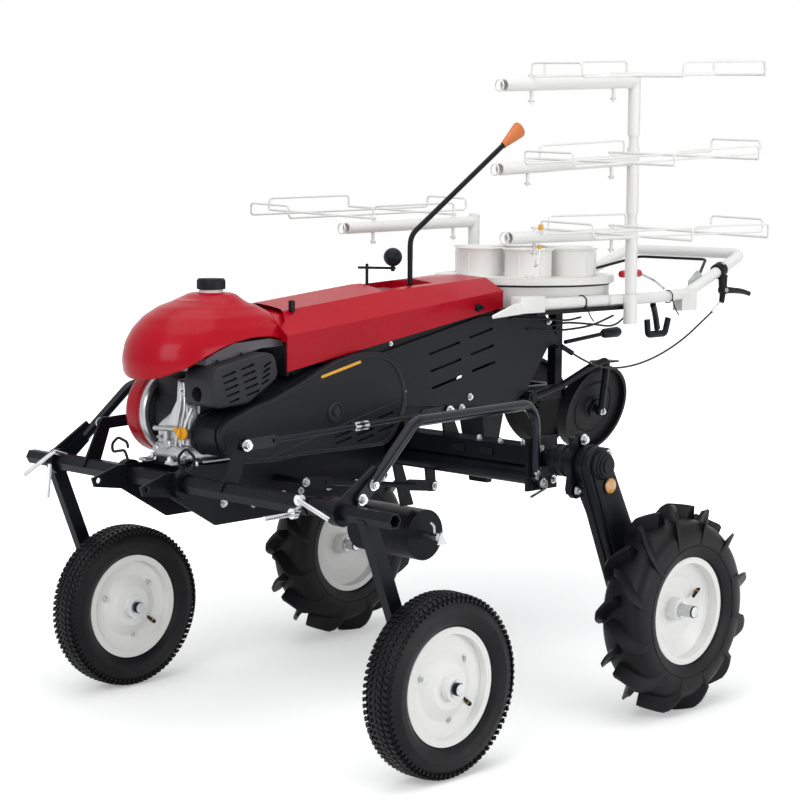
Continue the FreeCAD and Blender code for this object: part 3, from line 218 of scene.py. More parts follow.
white_moulding = finish("white_moulding", (0.80, 0.795, 0.77), 0.4, drift=(6, 0.015),
                        gloss=(16, 0.05), skin=(900, 0.00004), specular=0.3)
tank_plastic = finish("tank_plastic", (0.10, 0.09, 0.105), 0.5, skin=(700, 0.0001))
tyre_rubber = finish("tyre_rubber", (0.006, 0.006, 0.0072), 0.44, drift=(11, 0.3),
                     gloss=(30, 0.12), skin=(600, 0.00012), specular=0.15)
soft_rubber = finish("soft_rubber", (0.006, 0.006, 0.0072), 0.5, drift=(9, 0.25),
                     gloss=(26, 0.1), skin=(700, 0.0001), specular=0.15)
cable_skin = finish("cable_skin", (0.006, 0.006, 0.007), 0.35, skin=(900, 0.00003),
                    specular=0.35)
zinc_plate = finish("zinc_plate", (0.56, 0.57, 0.58), 0.26, metallic=1.0, drift=(40, 0.1),
                    gloss=(60, 0.1), skin=(700, 0.00003))
cast_metal = finish("cast_metal", (0.42, 0.43, 0.44), 0.36, metallic=0.9, drift=(18, 0.2),
                    gloss=(30, 0.1), skin=(420, 0.00022))
grip_rubber = finish("grip_rubber", (0.60, 0.17, 0.045), 0.42, drift=(12, 0.12),
                     skin=(800, 0.00008), specular=0.35)
yellow_plastic = finish("yellow_plastic", (0.70, 0.34, 0.012), 0.35, drift=(20, 0.06),
                        skin=(700, 0.00004))
red_plastic = finish("red_plastic", (0.52, 0.006, 0.02), 0.3, skin=(700, 0.00003))
brass_metal = finish("brass_metal", (0.60, 0.42, 0.16), 0.3, metallic=1.0, skin=(800, 0.00002))
print(len(bpy.data.materials), "finishes")

# %% [markdown]
# The amber reflector is a clear lens over a faceted back, so it takes a honeycomb of bumps under
# a clear coat.

# %% Reflector lens
amber_lens, tree, surface, place = shader("amber_lens", (0.58, 0.26, 0.03), 0.15, coat=1.0)
cells = add(tree, "ShaderNodeTexVoronoi", {"Scale": 420})
bump = add(tree, "ShaderNodeBump", {"Distance": 0.0006})
tree.links.new(place, cells.inputs["Vector"])
tree.links.new(cells.outputs["Distance"], bump.inputs["Height"])
tree.links.new(bump.outputs["Normal"], surface.inputs["Normal"])

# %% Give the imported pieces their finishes
BY_SLOT = {"frame_paint": dark_paint, "pipe_paint": pipe_paint, "red_paint": red_paint,
           "dark_cover": cover_plastic, "white_paint": white_coat, "tyre_rubber": tyre_rubber,
           "soft_rubber": soft_rubber, "engine_metal": cast_metal, "grey_plastic": tank_plastic,
           "white_plastic": white_moulding, "cable_sleeve": cable_skin}
SLOT_OF = {entry["node"]: entry["material_slot"] for entry in frame["record"]["subparts"]}
for name, thing in frame["nodes"].items():
    thing.data.materials.clear()
    thing.data.materials.append(BY_SLOT[SLOT_OF[name]])
print(len(SLOT_OF), "packed pieces painted")

# %% [markdown]
# ## Tools for making pieces
# Every finished piece is a plain mesh at the origin that rides on one body. `piece` takes care of
# that once, for one shape or for several joined. Outlines are extruded and bevelled, round things
# are turned on an axis, and bars follow a path with rounded corners.

# %% Turning vertices into a piece
FINISH_SLOT = {material.name: name for name, material in BY_SLOT.items()}
FINISH_SLOT.update({"silencer_plastic": "dark_cover", "yellow_plastic": "dark_cover",
                    "amber_lens": "dark_cover", "zinc_plate": "engine_metal",
                    "brass_metal": "engine_metal", "grip_rubber": "soft_rubber",
                    "red_plastic": "red_paint"})
CREASE = math.radians(32)


def smooth(mesh, angle=CREASE):
    mesh.shade_smooth()
    mesh.set_sharp_from_angle(angle=angle)


def raw(name, points, faces):
    """An object from points in metres; its faces are turned outwards."""
    mesh = bpy.data.meshes.new(name)
    mesh.from_pydata([tuple(point) for point in points], [], faces)
    tidy = bmesh.new()
    tidy.from_mesh(mesh)
    bmesh.ops.remove_doubles(tidy, verts=tidy.verts, dist=1e-6)
    bmesh.ops.recalc_face_normals(tidy, faces=tidy.faces)
    tidy.to_mesh(mesh)
    tidy.free()
    return placed(name, mesh)


def bake(thing):
    """Apply an object's modifiers."""
    scene_now = bpy.context.evaluated_depsgraph_get()
    scene_now.update()
    mesh = bpy.data.meshes.new_from_object(thing.evaluated_get(scene_now))
    thing.modifiers.clear()
    thing.data = mesh
    return thing


def bevel(thing, width, segments=2, angle=20):
    """Round the edges that are sharper than an angle."""
    tool = thing.modifiers.new("edge", "BEVEL")
    tool.width = width * MM
    tool.segments = segments
    tool.limit_method = "ANGLE"
    tool.angle_limit = math.radians(angle)
    return bake(thing)


def carve(thing, cutters):
    """Cut other solids out of one, and drop them."""
    for cutter in cutters:
        tool = thing.modifiers.new("cut", "BOOLEAN")
        tool.object = cutter
        tool.solver = "EXACT"
    bake(thing)
    for cutter in cutters:
        bpy.data.objects.remove(cutter)
    return thing


def join(name, things):
    """Several loose objects as one mesh."""
    tool = bmesh.new()
    for thing in things:
        tool.from_mesh(thing.data)
    mesh = bpy.data.meshes.new(name)
    tool.to_mesh(mesh)
    tool.free()
    for thing in things:
        bpy.data.objects.remove(thing)
    return placed(name, mesh)


def piece(parts, name, material, body="chassis", replaces=(), angle=CREASE):
    """Name, paint and seat a finished mesh, or several as one, on a body."""
    thing = join(name, parts) if isinstance(parts, list) else parts
    thing.name = name
    thing.data.name = name
    thing.data.materials.clear()
    thing.data.materials.append(material)
    for face in thing.data.polygons:
        face.material_index = 0
    smooth(thing.data, angle)
    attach(thing, body)
    if replaces:
        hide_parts(*replaces)
    print(name, "with", len(thing.data.polygons), "faces on", body)
    return thing


# %% Shapes: extruded, turned and swept
def prism(near, far):
    """A closed solid between two matching outlines, given in metres."""
    count = len(near)
    faces = [tuple(range(count)), tuple(range(2 * count - 1, count - 1, -1))]
    faces += [(i, (i + 1) % count, count + (i + 1) % count, count + i) for i in range(count)]
    return raw("prism", near + far, faces)


def slab(outline, y0, y1):
    """An outline of (x, z) in machine millimetres, extruded from y0 to y1."""
    return prism([spot(x, y0, z) for x, z in outline], [spot(x, y1, z) for x, z in outline])


def web(outline, x0, x1):
    """An outline of (y, z) in machine millimetres, extruded from x0 to x1."""
    return prism([spot(x0, y, z) for y, z in outline], [spot(x1, y, z) for y, z in outline])


def brick(x0, x1, y0, y1, z0, z1):
    return slab([(x0, z0), (x1, z0), (x1, z1), (x0, z1)], y0, y1)


def basis(axis):
    """Two directions square to an axis."""
    axis = Vector(axis).normalized()
    side = axis.cross(Vector((0, 0, 1)))
    if side.length < 0.05:
        side = Vector((1, 0, 0))
    side.normalize()
    return axis, side, axis.cross(side)


def between_rings(rings, count):
    """The faces between rings of so many points each."""
    faces = []
    for ring in range(rings - 1):
        for step in range(count):
            a, b = ring * count + step, ring * count + (step + 1) % count
            faces.append((a, b, b + count, a + count))
    return faces


def turned(profile, centre, axis=(0, 1, 0), steps=48):
    """A closed profile of (radius, along) in millimetres, turned about an axis."""
    axis, side, up = basis(axis)
    points, faces = [], []
    count = len(profile)
    for step in range(steps):
        angle = 2 * math.pi * step / steps
        outward = side * math.cos(angle) + up * math.sin(angle)
        points += [centre + (outward * radius + axis * along) * MM for radius, along in profile]
    for step in range(steps):
        here, there = step * count, (step + 1) % steps * count
        for i in range(count):
            j = (i + 1) % count
            if profile[i][0] < 1e-6 and profile[j][0] < 1e-6:
                continue
            faces.append((here + i, here + j, there + j, there + i))
    return raw("turned", points, faces)


def rod(radius, start, end, centre, axis=(0, 1, 0), steps=48):
    """A plain cylinder about an axis."""
    return turned([(0, start), (radius, start), (radius, end), (0, end)], centre, axis, steps)


def rounded(points, radius, steps=5):
    """A path whose corners are rounded, in any unit."""
    line = [points[0]]
    for before, corner, after in zip(points, points[1:], points[2:]):
        back, onward = before - corner, after - corner
        reach = min(radius, back.length * 0.48, onward.length * 0.48)
        start, end = corner + back.normalized() * reach, corner + onward.normalized() * reach
        for step in range(steps + 1):
            share = step / steps
            line.append(start * (1 - share) ** 2 + corner * 2 * share * (1 - share)
                        + end * share ** 2)
    return line + [points[-1]]


def swept(line, radius, sides=14, flat=1.0):
    """A round bar along points in metres; radius is a number or one for each point, in mm."""
    radii = radius if isinstance(radius, (list, tuple)) else [radius] * len(line)
    points = []
    _, side, _ = basis(line[1] - line[0])
    for index, here in enumerate(line):
        ahead = line[min(index + 1, len(line) - 1)] - line[max(index - 1, 0)]
        ahead.normalize()
        side = (side - ahead * side.dot(ahead)).normalized()
        up = ahead.cross(side)
        for step in range(sides):
            angle = 2 * math.pi * step / sides
            offset = side * math.cos(angle) * flat + up * math.sin(angle)
            points.append(here + offset * radii[index] * MM)
    ends = [tuple(range(sides)), tuple(range(len(points) - 1, len(points) - 1 - sides, -1))]
    return raw("swept", points, between_rings(len(line), sides) + ends)


def bar(corners, radius, bend=20, sides=14, flat=1.0):
    """A bent bar through corners given in machine millimetres."""
    line = rounded([spot(*corner) for corner in corners], bend * MM)
    return swept(line, radius, sides, flat)


def pill(length, width, steps=5):
    """A slot's outline about its own middle, as (along, across)."""
    half = width / 2
    run = length / 2 - half
    right = [(run + half * math.sin(math.pi * s / steps), half * math.cos(math.pi * s / steps))
             for s in range(steps + 1)]
    return right + [(-x, -z) for x, z in right]


def slot_cutter(x, z, length, width, slope, y0, y1):
    """A slanted slot through a side face."""
    cosine, sine = math.cos(slope), math.sin(slope)
    outline = [(x + u * cosine - w * sine, z + u * sine + w * cosine)
               for u, w in pill(length, width)]
    return slab(outline, y0, y1)


# %% [markdown]
# ## Geometry Nodes for what repeats
# Two small trees do the repeating. The first copies a piece round an axle, which makes treads,
# lugs and the starter cover's slots. The second puts a hexagon bolt on each point of a point
# list, standing along the direction that the point carries. Both end in Realize Instances and Set
# Material, and are baked.

# %% Tree: copies round an axle
def wire(tree, *links):
    """Links in a tree, each as (node, output, next node, input)."""
    for first, out, second, into in links:
        tree.links.new(first.outputs[out], second.inputs[into])


def new_tree(name, sockets):
    tree = bpy.data.node_groups.new(name, "GeometryNodeTree")
    tree.interface.new_socket("Geometry", in_out="INPUT", socket_type="NodeSocketGeometry")
    tree.interface.new_socket("Geometry", in_out="OUTPUT", socket_type="NodeSocketGeometry")
    for label, kind in sockets:
        tree.interface.new_socket(label, in_out="INPUT", socket_type=kind)
    return tree, tree.nodes.new("NodeGroupInput"), tree.nodes.new("NodeGroupOutput")


def set_inputs(modifier, values):
    """Set a node modifier's inputs by their labels, through each socket's identifier."""
    for item in modifier.node_group.interface.items_tree:
        if item.item_type == "SOCKET" and item.in_out == "INPUT" and item.name in values:
            modifier[item.identifier] = values[item.name]


around_tree, entry, leave = new_tree("copies_round_an_axle", [
    ("Count", "NodeSocketInt"), ("Start", "NodeSocketFloat"), ("Material", "NodeSocketMaterial")])
row = add(around_tree, "GeometryNodeMeshLine", {"Offset": (0, 0, 0)})
index = add(around_tree, "GeometryNodeInputIndex")
share = add(around_tree, "ShaderNodeMath", operation="DIVIDE")
full_turn = add(around_tree, "ShaderNodeMath", {1: 2 * math.pi}, operation="MULTIPLY_ADD")
about_y = add(around_tree, "ShaderNodeCombineXYZ")
COPY_KINDS = ("GeometryNodeInstanceOnPoints", "GeometryNodeRealizeInstances",
              "GeometryNodeSetMaterial")
copy, real, dress = [add(around_tree, kind) for kind in COPY_KINDS]
wire(around_tree, (entry, "Count", row, "Count"), (index, "Index", share, 0),
     (entry, "Count", share, 1), (share, 0, full_turn, 0), (entry, "Start", full_turn, 2),
     (full_turn, 0, about_y, "Y"), (row, "Mesh", copy, "Points"),
     (entry, "Geometry", copy, "Instance"), (about_y, "Vector", copy, "Rotation"),
     (copy, "Instances", real, "Geometry"), (real, "Geometry", dress, "Geometry"),
     (entry, "Material", dress, "Material"), (dress, "Geometry", leave, "Geometry"))


def around(thing, count, material, centre, start=0.0):
    """Copies of a piece round the Y axis through the origin, then moved to a centre."""
    tool = thing.modifiers.new("around", "NODES")
    tool.node_group = around_tree
    set_inputs(tool, {"Count": count, "Start": start, "Material": material})
    bake(thing)
    thing.data.transform(Matrix.Translation(centre))
    return thing


# %% Tree: bolts on points
bolt_tree, entry, leave = new_tree("bolts_on_points", [("Material", "NodeSocketMaterial")])


def disc_node(tree, sides, radius, height, rise):
    """A short cylinder in a tree, standing on the point."""
    disc = add(tree, "GeometryNodeMeshCylinder",
               {"Vertices": sides, "Radius": radius, "Depth": height})
    lift = add(tree, "GeometryNodeTransform", {"Translation": (0, 0, rise)})
    wire(tree, (disc, "Mesh", lift, "Geometry"))
    return lift


# sides, radius, height and rise of the head, the washer and the bolt's tip
BOLT_DISCS = ((6, 1.0, 0.9, 0.75), (20, 1.45, 0.3, 0.15), (10, 0.55, 0.5, 1.3))
both = add(bolt_tree, "GeometryNodeJoinGeometry")
for disc in BOLT_DISCS:
    wire(bolt_tree, (disc_node(bolt_tree, *disc), "Geometry", both, "Geometry"))
facing, size = [add(bolt_tree, "GeometryNodeInputNamedAttribute", {"Name": label}, data_type=kind)
                for label, kind in (("facing", "FLOAT_VECTOR"), ("size", "FLOAT"))]
stand = add(bolt_tree, "FunctionNodeAlignRotationToVector", axis="Z")
copy, real, dress = [add(bolt_tree, kind) for kind in COPY_KINDS]
wire(bolt_tree, (entry, "Geometry", copy, "Points"), (both, "Geometry", copy, "Instance"),
     (facing, "Attribute", stand, "Vector"), (stand, "Rotation", copy, "Rotation"),
     (size, "Attribute", copy, "Scale"), (copy, "Instances", real, "Geometry"),
     (real, "Geometry", dress, "Geometry"), (entry, "Material", dress, "Material"),
     (dress, "Geometry", leave, "Geometry"))


def bolts(name, places, body="chassis", material=None):
    """Hexagon bolts: each place is (point in metres, direction, half width in mm)."""
    material = material or zinc_plate
    mesh = bpy.data.meshes.new(name)
    mesh.from_pydata([tuple(point) for point, _, _ in places], [], [])
    mesh.attributes.new("facing", "FLOAT_VECTOR", "POINT").data.foreach_set(
        "vector", [part for _, way, _ in places for part in Vector(way).normalized()])
    mesh.attributes.new("size", "FLOAT", "POINT").data.foreach_set(
        "value", [half * MM for _, _, half in places])
    thing = placed(name, mesh)
    tool = thing.modifiers.new("bolts", "NODES")
    tool.node_group = bolt_tree
    set_inputs(tool, {"Material": material})
    bake(thing)
    return piece(thing, name, material, body)


# %% [markdown]
# ## Front tyres
# The front tyres carry a fine block tread. The carcass is turned from a rounded section. Five
# rows of small blocks stand on it, each row shifted against the next, and one more row stands on
# each shoulder.

# %% Front tyres
def half_size(node, axis):
    """Half of a node's box along X (0), Y (1) or Z (2), in millimetres."""
    low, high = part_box(node)
    return (high[axis] - low[axis]) / 2 / MM


BEAD, FLANGE, TYRE_STEPS, BLOCKS = 102.2, 112.4, 96, 84


def block_row(radius, y, long, wide, high, centre, start, slant=0.0):
    """One row of tread blocks round a tyre."""
    corners = []
    for level, shrink in ((-1.5, 1.0), (high, 0.82)):
        for u, v in ((-1, -1), (1, -1), (1, 1), (-1, 1)):
            along = u * long / 2 * shrink + v * slant
            corners.append(Vector((along, y + v * wide / 2 * shrink, radius + level)) * MM)
    faces = [(0, 1, 2, 3), (4, 5, 6, 7), (0, 1, 5, 4), (1, 2, 6, 5), (2, 3, 7, 6), (3, 0, 4, 7)]
    return around(raw("blocks", corners, faces), BLOCKS, tyre_rubber, centre, start)


def front_tyre(side):
    node = f"front_tyre_{side}"
    centre, radius, half = middle(node), half_size(node, 2), half_size(node, 1)
    crown = radius - 2.2
    wall = [(BEAD, -half + 17), (FLANGE, -half + 15.5), (FLANGE + 5, -half + 9),
            (FLANGE + 14, -half + 3), (FLANGE + 27, -half), (crown - 24, -half + 1.5),
            (crown - 12, -half + 7), (crown - 5, -half + 15), (crown - 1.2, -half + 25)]
    section = wall + [(crown, 0)] + [(r, -y) for r, y in reversed(wall)]
    parts = [turned(section, centre, steps=TYRE_STEPS)]
    rows = ((0, 0.6), (12.5, 0.9), (-12.5, 0.3), (24, 2.4), (-24, 2.4))
    for order, (y, drop) in enumerate(rows):
        parts.append(block_row(crown - drop, y, 8.2, 9.5, 2.2, centre, order * 0.037,
                               slant=2.2 if order % 2 else -2.2))
    for y in (-33, 33):
        parts.append(block_row(crown - 10.5, y, 6.5, 7, 3.6, centre, 0.02))
    piece(parts, f"front_tyre_tread_{side}", tyre_rubber, f"front_{side}_wheel", replaces=[node],
          angle=math.radians(24))


for side, _ in SIDES:
    front_tyre(side)

# %% [markdown]
# ## Rear tyres
# The rear wheels have to grip wet soil. Tall lugs sweep back from the middle of the crown, over
# the shoulder and down the wall, left and right by turns. One lug is built along a curve, and
# the tree copies it round the axle.

# %% Rear tyres
LUGS = 12


def lug(sign, crown, top, half):
    """One curved lug about the origin, its crest at the tyre's full radius."""
    points = []
    steps = 8
    for step in range(steps + 1):
        share = step / steps
        y = sign * (-7 + (half + 5.5) * share ** 0.92)
        sweep = 0.02 + 0.30 * share ** 1.25
        drop = 26 * max(0.0, share - 0.62) ** 1.6 / 0.38 ** 1.6
        base = crown - 2 - 22 * share ** 3 - drop
        crest = top - 0.4 * abs(y) * 0.12 - drop * 1.35
        foot = (11 - 2.5 * share) / crown
        peak = (5.2 - 1.0 * share) / top
        for angle, radius in ((sweep - foot, base), (sweep - peak, crest), (sweep + peak, crest),
                              (sweep + foot * 1.35, base)):
            points.append(Vector((math.sin(angle) * radius, y, math.cos(angle) * radius)) * MM)
    ends = [(0, 1, 2, 3), tuple(steps * 4 + i for i in (3, 2, 1, 0))]
    return raw("lug", points, between_rings(steps + 1, 4) + ends)


def rear_tyre(side):
    node = f"rear_tyre_{side}"
    centre, top, half = middle(node), half_size(node, 2), half_size(node, 1)
    crown = top - 27
    wall = [(BEAD, -half + 17.5), (FLANGE, -half + 16), (FLANGE + 3, -half + 10),
            (FLANGE + 14, -half + 4.5), (FLANGE + 30, -half + 2), (crown - 26, -half + 4),
            (crown - 14, -half + 10), (crown - 6, -half + 20), (crown - 2, -half + 34)]
    section = wall + [(crown, 0)] + [(r, -y) for r, y in reversed(wall)]
    parts = [turned(section, centre, steps=TYRE_STEPS)]
    for sign, start in ((1, 0.0), (-1, math.pi / LUGS)):
        parts.append(around(lug(sign, crown, top, half), LUGS, tyre_rubber, centre, start))
    for y in (-half + 3.1, half - 3.1):
        parts.append(turned([(FLANGE + 22, y - 1), (FLANGE + 23.5, y + (1.6 if y > 0 else -1.6)),
                             (FLANGE + 25, y - 1)], centre, steps=TYRE_STEPS))
    piece(parts, f"rear_tyre_lugs_{side}", tyre_rubber, f"rear_{side}_wheel", replaces=[node],
          angle=math.radians(28))


for side, _ in SIDES:
    rear_tyre(side)

# %% [markdown]
# ## Wheel trim
# The front discs are bolted in a ring, with a washer and nut at the hub. Each wheel has a
# rubber valve. The rear wheels show the plated end of the axle and its clamp bolt.

# %% Valves, nuts and axle ends
VALVE_ROOT, VALVE_TIP, DISC_BOLTS, CLAMP_BOLT = 84, 52, 66, 23.6


def polar(centre, radius, angle, y):
    """A point on a wheel, at an angle in degrees from straight ahead, upwards."""
    turn = math.radians(angle)
    return centre + Vector((math.cos(turn) * radius, y, math.sin(turn) * radius)) * MM


def valve(side, end, centre, angle, y):
    """A short valve with a brass collar, leaning out of the disc."""
    root = polar(centre, VALVE_ROOT, angle, y)
    tip_point = polar(centre, VALVE_TIP, angle, y + 9)
    run = tip_point - root
    body = f"{end}_{side}_wheel"
    stem = swept([root, root + run * 0.42, root + run * 0.44, tip_point],
                 [4.6, 4.2, 3.4, 3.2], 12)
    piece(stem, f"{end}_valve_{side}", soft_rubber, body)
    collar = swept([root + run * 0.40, root + run * 0.47], 4.7, 14)
    piece(collar, f"{end}_valve_collar_{side}", brass_metal, body)


def hub_stack(name, body, start, radii):
    """Washer, nut and axle end as one turned piece, stacked outwards."""
    profile, along = [(0, 0)], 0
    for radius, length in radii:
        profile += [(radius, along), (radius, along + length)]
        along += length
    profile.append((0, along))
    piece(turned(profile, start, steps=36), name, zinc_plate, body)


for side, _ in SIDES:
    front = middle(f"front_tyre_{side}")
    ring = [(polar(front, DISC_BOLTS, angle, 11.2), (0, 1, 0), 5.4) for angle in (20, 140, 260)]
    bolts(f"front_disc_bolts_{side}", ring, f"front_{side}_wheel")
    hub_stack(f"front_hub_nut_{side}", f"front_{side}_wheel", front + Vector((0, 40.2, 0)) * MM,
              ((17, 3), (11, 9)))
    valve(side, "front", front, 214, 9)
    rear = middle(f"rear_tyre_{side}")
    hub_stack(f"rear_axle_end_{side}", "chassis", rear + Vector((0, 22.6, 0)) * MM,
              ((16, 4), (12.8, 26), (11.2, 3)))
    bolts(f"rear_clamp_bolt_{side}", [(polar(rear, CLAMP_BOLT, 200, 14), (-1, 0, -0.35), 4.5)],
          f"rear_{side}_wheel")
    valve(side, "rear", rear, 158, 6)

# %% [markdown]
# ## Tank cover
# The red cover is one drawn dome. Its plan is a soft rectangle that shrinks with height, and its
# lower edge arches over the engine, so a ring-by-ring surface follows it best: each ring starts
# from the arched edge at the bottom and ends level at the top, and a smooth swelling lifts the
# middle into the seat of the filler cap.

# %% Tank cover
TANK_LEVELS = ((0.0, 0.955, 0.965), (0.1, 0.985, 0.99), (0.25, 1.0, 1.0), (0.45, 0.965, 0.97),
               (0.62, 0.885, 0.895), (0.78, 0.75, 0.77), (0.9, 0.58, 0.61), (1.0, 0.34, 0.38))
TANK_EDGE = ((223, 679), (179, 691), (134, 716), (92, 741), (50, 759), (14, 769), (-37, 775),
             (-89, 773), (-135, 756), (-205, 748))
NOSE, TAIL, NOSE_IN = 0.95, 0.50, 0.03
PLATEAU, FILLET, RAISED = 36, 40, 13


def along_table(table, at, column):
    """A smooth reading of a table whose first column rises."""
    at = min(max(at, table[0][0]), table[-1][0])
    for low, high in zip(table, table[1:]):
        if at <= high[0]:
            share = (at - low[0]) / (high[0] - low[0])
            share = share * share * (3 - 2 * share) * 0.35 + share * 0.65
            return low[column] + (high[column] - low[column]) * share
    return table[-1][column]


def tank_point(angle, level):
    """A point of the dome: angle round it, level from the lower edge (0) to the top (1)."""
    low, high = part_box("tank_cover")
    base, top = low[2] / MM - 4, high[2] / MM - RAISED
    half_x, half_y = (high[0] - low[0]) / 2 / MM, (high[1] - low[1]) / 2 / MM
    centre = (low[0] + high[0]) / 2
    cosine, sine = math.cos(angle), math.sin(angle)
    power = NOSE + (TAIL - NOSE) * (0.5 - 0.5 * cosine)
    shape_x = math.copysign(abs(cosine) ** power, cosine)
    shape_y = math.copysign(abs(sine) ** power, sine)
    edge = tuple(sorted(TANK_EDGE))
    height, x = base + (top - base) * level, 0.0
    for _ in range(4):
        share = (height - base) / (top - base)
        x = shape_x * half_x * along_table(TANK_LEVELS, share, 1)
        x *= 1 - NOSE_IN * max(cosine, 0)
        rim = along_table(edge, x + (centre - AXLE_X) / MM, 1)
        height = rim + (top - rim) * level
    share = (height - base) / (top - base)
    y = shape_y * half_y * along_table(TANK_LEVELS, share, 2)
    return Vector((centre + x * MM, BODY_Y + y * MM, height * MM))


def tank_cover():
    steps, levels = 72, 22
    cap = middle("fuel_cap")
    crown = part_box("tank_cover")[1][2]
    points = []
    for level in range(levels + 1):
        share = math.sin(math.pi / 2 * level / levels) ** 1.05
        for step in range(steps):
            points.append(tank_point(2 * math.pi * step / steps, share))
    crest = sum((points[levels * steps + step] for step in range(steps)), Vector()) / steps
    inner = 10
    for ring in range(1, inner):
        for step in range(steps):
            points.append(points[levels * steps + step].lerp(crest, ring / inner))
    points.append(crest)
    rings = levels + inner
    faces = between_rings(rings, steps)
    last = (rings - 1) * steps
    faces += [(last + step, last + (step + 1) % steps, len(points) - 1) for step in range(steps)]
    for point in points:
        reach = math.hypot((point.x - cap.x) / MM, (point.y - cap.y) / MM)
        share = min(1.0, max(0.0, (PLATEAU + FILLET - reach) / FILLET))
        top = max(0.0, crown - point.z) if point.z > cap.z - 0.06 else 0.0
        point.z += top * share * share * (3 - 2 * share)
    shell = raw("dome", points, faces)
    for tool, settings in (("SOLIDIFY", {"thickness": 3 * MM, "offset": -1}),
                           ("SUBSURF", {"levels": 1, "render_levels": 1})):
        modifier = shell.modifiers.new(tool.lower(), tool)
        for key, value in settings.items():
            setattr(modifier, key, value)
    bake(shell)
    piece(shell, "tank_dome", red_paint, replaces=["tank_cover"], angle=math.radians(50))


tank_cover()

# %% [markdown]
# The filler cap is black and knurled. A white collar shows under it. Both stand on the top of
# the dome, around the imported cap's own axis.

# %% Filler cap
def knurled(centre, radius, low, high, teeth):
    """A knurled cap about the Z axis."""
    steps = teeth * 2
    rings = ((low, 0.97, 0.0), (low + 2, 1.0, 1.2), (high - 5, 1.0, 1.2), (high - 3, 0.97, 0.0),
             (high, 0.90, 0.0))
    points = []
    for z, share, tooth in rings:
        for step in range(steps):
            angle = 2 * math.pi * step / steps
            reach = radius * share - (tooth if step % 2 else 0)
            points.append(centre + Vector((math.cos(angle) * reach, math.sin(angle) * reach,
                                           z)) * MM)
    ends = [tuple(range(steps)), tuple(range(len(points) - steps, len(points)))]
    return raw("knurled", points, between_rings(len(rings), steps) + ends)


cap_low, cap_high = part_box("fuel_cap")
cap_centre = middle("fuel_cap")
cap_centre.z = 0
piece(knurled(cap_centre, 29.5, cap_low[2] / MM + 6, cap_high[2] / MM, 30), "filler_cap",
      cover_plastic, replaces=["fuel_cap"])
piece(turned([(0, cap_low[2] / MM - 3), (25, cap_low[2] / MM - 3), (24, cap_low[2] / MM + 6),
              (0, cap_low[2] / MM + 6)], cap_centre, (0, 0, 1)), "filler_neck", white_moulding)

# %% [markdown]
# ## Moulded side covers
# The belt cover and the silencer cover are moulded boxes with generous corners. Each is an
# extruded outline with its edges rounded, and its cooling slots are really cut through the skin.
# A thin bead and a crease stand on the belt cover's face.

# %% Belt cover
BELT_OUTLINE = ((20, 527), (62, 543), (80, 558), (89, 582), (88, 600), (74, 614), (50, 624),
                (8, 639), (-56, 655), (-117, 676), (-178, 702), (-228, 719), (-278, 729),
                (-317, 732), (-356, 728), (-389, 713), (-412, 688), (-426, 652), (-428, 614),
                (-412, 577), (-399, 556), (-382, 538), (-358, 529), (-264, 528), (-186, 529),
                (-117, 529), (-60, 524))
SKIRT_LOW = 536


def belt_cover():
    inner, outer = [corner.y for corner in extent("belt_cover")]
    hood_side = extent("hood")[1].y
    body = bevel(slab(BELT_OUTLINE, hood_side + 1, outer), 9, 4)
    cutters = []
    for x, z in ((-238, 551.5), (-302, 551), (-362, 566.5)):
        for row in range(3):
            cutters.append(slot_cutter(x, z + row * 14, 48, 5, -0.2, outer - 7, outer + 5))
    carve(body, cutters)
    lower = [(x, max(SKIRT_LOW, min(z, 690 - (x + 105) * 0.158))) for x, z in BELT_OUTLINE]
    skirt = slab(lower, inner, hood_side + 1)
    piece([body, skirt], "belt_cover_moulding", cover_plastic, replaces=["belt_cover"])
    seam = [(-170 + (x + 170) * 0.945, 624 + (z - 624) * 0.905) for x, z in BELT_OUTLINE]
    ring = [spot(x, outer + 0.4, z) for x, z in seam]
    crease = [spot(x, outer, z) for x, z in ((-20, 532), (-117, 556), (-186, 573), (-278, 595),
                                             (-402, 622))]
    beads = [swept(rounded(ring + ring[:2], 0.02), 1.3, 6), swept(crease, 1.6, 6)]
    piece(beads, "belt_cover_bead", silencer_plastic)
    print("belt cover from", round(inner), "to", round(outer))


belt_cover()

# %% [markdown]
# The silencer cover is a smaller moulding with a large edge radius. Its slots could be painted on,
# but light falls into real ones, so they are cut with an exact Boolean.

# %% Silencer cover
def silencer_cover():
    inner, outer = [corner.y for corner in extent("silencer_cover")]
    outline = [(108, 646), (112, 662), (110, 704), (102, 722), (88, 729), (-38, 752), (-58, 748),
               (-68, 736), (-74, 704), (-66, 690), (2, 650), (16, 644), (96, 640)]
    body = bevel(slab([(x * 0.92, 694 + (z - 696) * 0.93) for x, z in outline], inner, outer),
                 20, 6)
    cutters = []
    for row in range(5):
        for column in range(2):
            x = 62 - 48 * column - row * 3.4
            z = 709 - row * 13.2 + column * 11.5
            length = 36 if row < 4 or column else 28
            cutters.append(slot_cutter(x, z, length, 4.6, -0.24, outer - 8, outer + 6))
    for row in range(4):
        cutters.append(slot_cutter(-38 + row * 2, 722 - row * 11.5, 22, 4.6, -0.45, outer - 8,
                                   outer + 6))
    for row in range(4):
        cutters.append(brick(-90, -50, outer - 44, outer - 18, 735 - row * 10, 738.5 - row * 10))
    cutters.append(rod(15, -26, 30, spot(104, outer - 50, 668), (1, 0, 0), 28))
    carve(body, cutters)
    piece(body, "silencer_moulding", silencer_plastic, replaces=["silencer_cover"])
    pipe = turned([(5, -8), (8, -8), (8, 4), (5, 4)], spot(84, outer - 50, 668), (1, 0, 0), 20)
    piece(pipe, "silencer_outlet", soft_rubber)
    bolts("silencer_screws", [(spot(x, outer - 36, z), (0.15, 0, 1), 3.0)
                              for x, z in ((62, 730.5), (0, 741.5))], material=cover_plastic)


silencer_cover()

